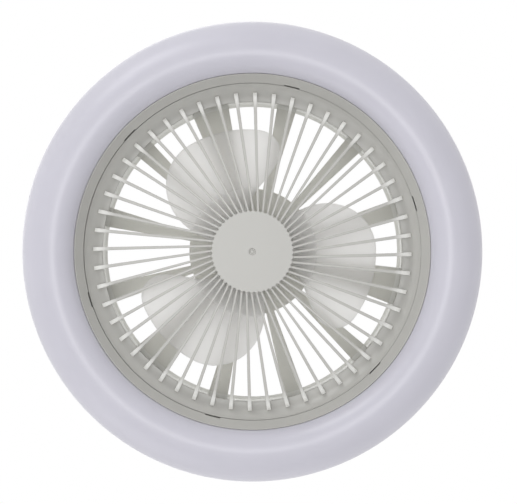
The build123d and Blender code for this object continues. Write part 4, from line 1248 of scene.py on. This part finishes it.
class SetStage(bpy.types.Operator):
    """Camera at the photo's angle, soft lamps, white surroundings and a pale floor."""

    bl_idname = "fan_light.stage"
    bl_label = "Studio"
    # Each lamp's name, side and distance, then its degrees round the view and off it
    lamps = (
        ("front", 0.3, 0.8, 180, 5),
        ("key", 0.5, 1.25, 120, 62),
        ("fill", 0.8, 1.25, -120, 70),
        ("back", 1.6, 1.4, 135, 170),
    )

    def execute(self, context):
        studio = settings("studio")
        right = np.array((math.cos(studio.roll), math.sin(studio.roll), 0.0))
        up = np.array((math.sin(studio.roll), -math.cos(studio.roll), 0.0))
        self.camera(studio, right, up)
        for name, side, distance, *bearings in self.lamps:
            self.lamp(name, getattr(studio, name), side, distance, right, up, *np.radians(bearings))
        self.surroundings(studio, right)
        self.floor(studio)
        context.scene.view_settings.view_transform = "Standard"
        return {"FINISHED"}
    def aimed(self, name, data, place, right, up, back):
        """Object that looks along minus back, with the given right and up."""
        made = bpy.data.objects.new(name, data)
        axes = Matrix(np.array((right, up, back)).T.tolist()).to_4x4()
        made.matrix_world = Matrix.Translation(place) @ axes
        bpy.context.scene.collection.objects.link(made)
        return made

    def camera(self, studio, right, up):
        """Camera in front of the light, looking straight at it."""
        data = bpy.data.cameras.new("front_camera")
        data.lens = studio.lens
        data.shift_x, data.shift_y = studio.shift
        place = (0, 0, FRONT - studio.distance)
        camera = self.aimed("front_camera", data, place, right, up, np.array((0, 0, -1.0)))
        bpy.context.scene.camera = camera

    def lamp(self, name, power, size, distance, right, up, around_view, off_view):
        """Square lamp that shines on the middle of the front, at an angle off the view."""
        data = bpy.data.lights.new(name, "AREA")
        data.energy, data.size = power, size
        sideways = math.cos(around_view) * right + math.sin(around_view) * up
        back = math.sin(off_view) * sideways + math.cos(off_view) * np.array((0, 0, -1.0))
        level = np.cross((0, 0, 1.0), back)
        level /= np.linalg.norm(level)
        place = back * distance + (0, 0, FRONT)
        self.aimed(name, data, place, level, np.cross(back, level), back)

    def surroundings(self, studio, right):
        """White for what the camera, reflections and see-through parts see.

        For the rest it is the even light, weaker towards the picture's right.
        """
        world = bpy.context.scene.world or bpy.data.worlds.new("surroundings")
        bpy.context.scene.world = world
        world.use_nodes = True
        tree = world.node_tree
        tree.nodes.clear()
        path = tree.nodes.new("ShaderNodeLightPath").outputs
        seen = maths(tree, "MAXIMUM", path["Is Camera Ray"], path["Is Glossy Ray"])
        clear = maths(tree, "MAXIMUM", seen, path["Is Transmission Ray"])
        place = tree.nodes.new("ShaderNodeTexCoord").outputs["Generated"]
        rightward = vector_maths(tree, "DOT_PRODUCT", place, tuple(right), result="Value")
        weakest = studio.ambient * (1 - studio.fall)
        strength = mapped(tree, rightward, -1.0, 1.0, studio.ambient, weakest)
        even = add_node(tree, "ShaderNodeBackground", {"Color": (1, 1, 1, 1), "Strength": strength})
        white = add_node(tree, "ShaderNodeBackground", {"Color": (1, 1, 1, 1), "Strength": 1.0})
        inputs = {"Fac": clear, 1: even.outputs[0], 2: white.outputs[0]}
        mix = add_node(tree, "ShaderNodeMixShader", inputs)
        add_node(tree, "ShaderNodeOutputWorld", {"Surface": mix.outputs[0]})

    def floor(self, studio):
        """Pale floor well below the hanging light."""
        side, depth = studio.floor_reach, FRONT - studio.floor_drop
        mesh = bpy.data.meshes.new("studio_floor")
        corners = [(x * side, y * side, depth) for x, y in ((-1, -1), (1, -1), (1, 1), (-1, 1))]
        mesh.from_pydata(corners, [], [(0, 1, 2, 3)])
        mesh.materials.append(plastic("pale_floor", (0.70, 0.70, 0.70), 0.8, 4, 0.02, 0.01))
        made = bpy.data.objects.new("studio_floor", mesh)
        bpy.context.scene.collection.objects.link(made)


PIECES = (
    BuildDiffuser,
    BuildFrame,
    BuildGrille,
    BuildImpeller,
    BuildCage,
    BuildPan,
    BuildNeck,
    BuildCap,
    BuildScrews,
    FinishInside,
    SetStage,
)


class FanLightPanel(bpy.types.Panel):
    """Sidebar panel with the settings and one button for each group of pieces."""

    bl_idname = "VIEW3D_PT_fan_light"
    bl_label = "Socket fan light"
    bl_space_type = "VIEW_3D"
    bl_region_type = "UI"
    bl_category = "Fan light"

    def draw(self, context):
        for operator in PIECES:
            self.layout.operator(operator.bl_idname)
        for name, group in SETTINGS.items():
            box = self.layout.box()
            box.label(text=name.capitalize())
            for setting in group.__annotations__:
                box.prop(settings(name), setting)


def register():
    for group in SETTINGS.values():
        bpy.utils.register_class(group)
    for name, group in SETTINGS.items():
        setattr(bpy.types.Scene, f"fan_light_{name}", bpy.props.PointerProperty(type=group))
    for listed in (*PIECES, FanLightPanel):
        bpy.utils.register_class(listed)


def unregister():
    for listed in reversed((*PIECES, FanLightPanel)):
        bpy.utils.unregister_class(listed)
    for name, group in reversed(SETTINGS.items()):
        delattr(bpy.types.Scene, f"fan_light_{name}")
        bpy.utils.unregister_class(group)


def main():
    """Builds the light piece by piece."""
    register()
    for operator in PIECES:
        family, action = operator.bl_idname.split(".")
        getattr(getattr(bpy.ops, family), action)()


if __name__ == "__main__":
    main()
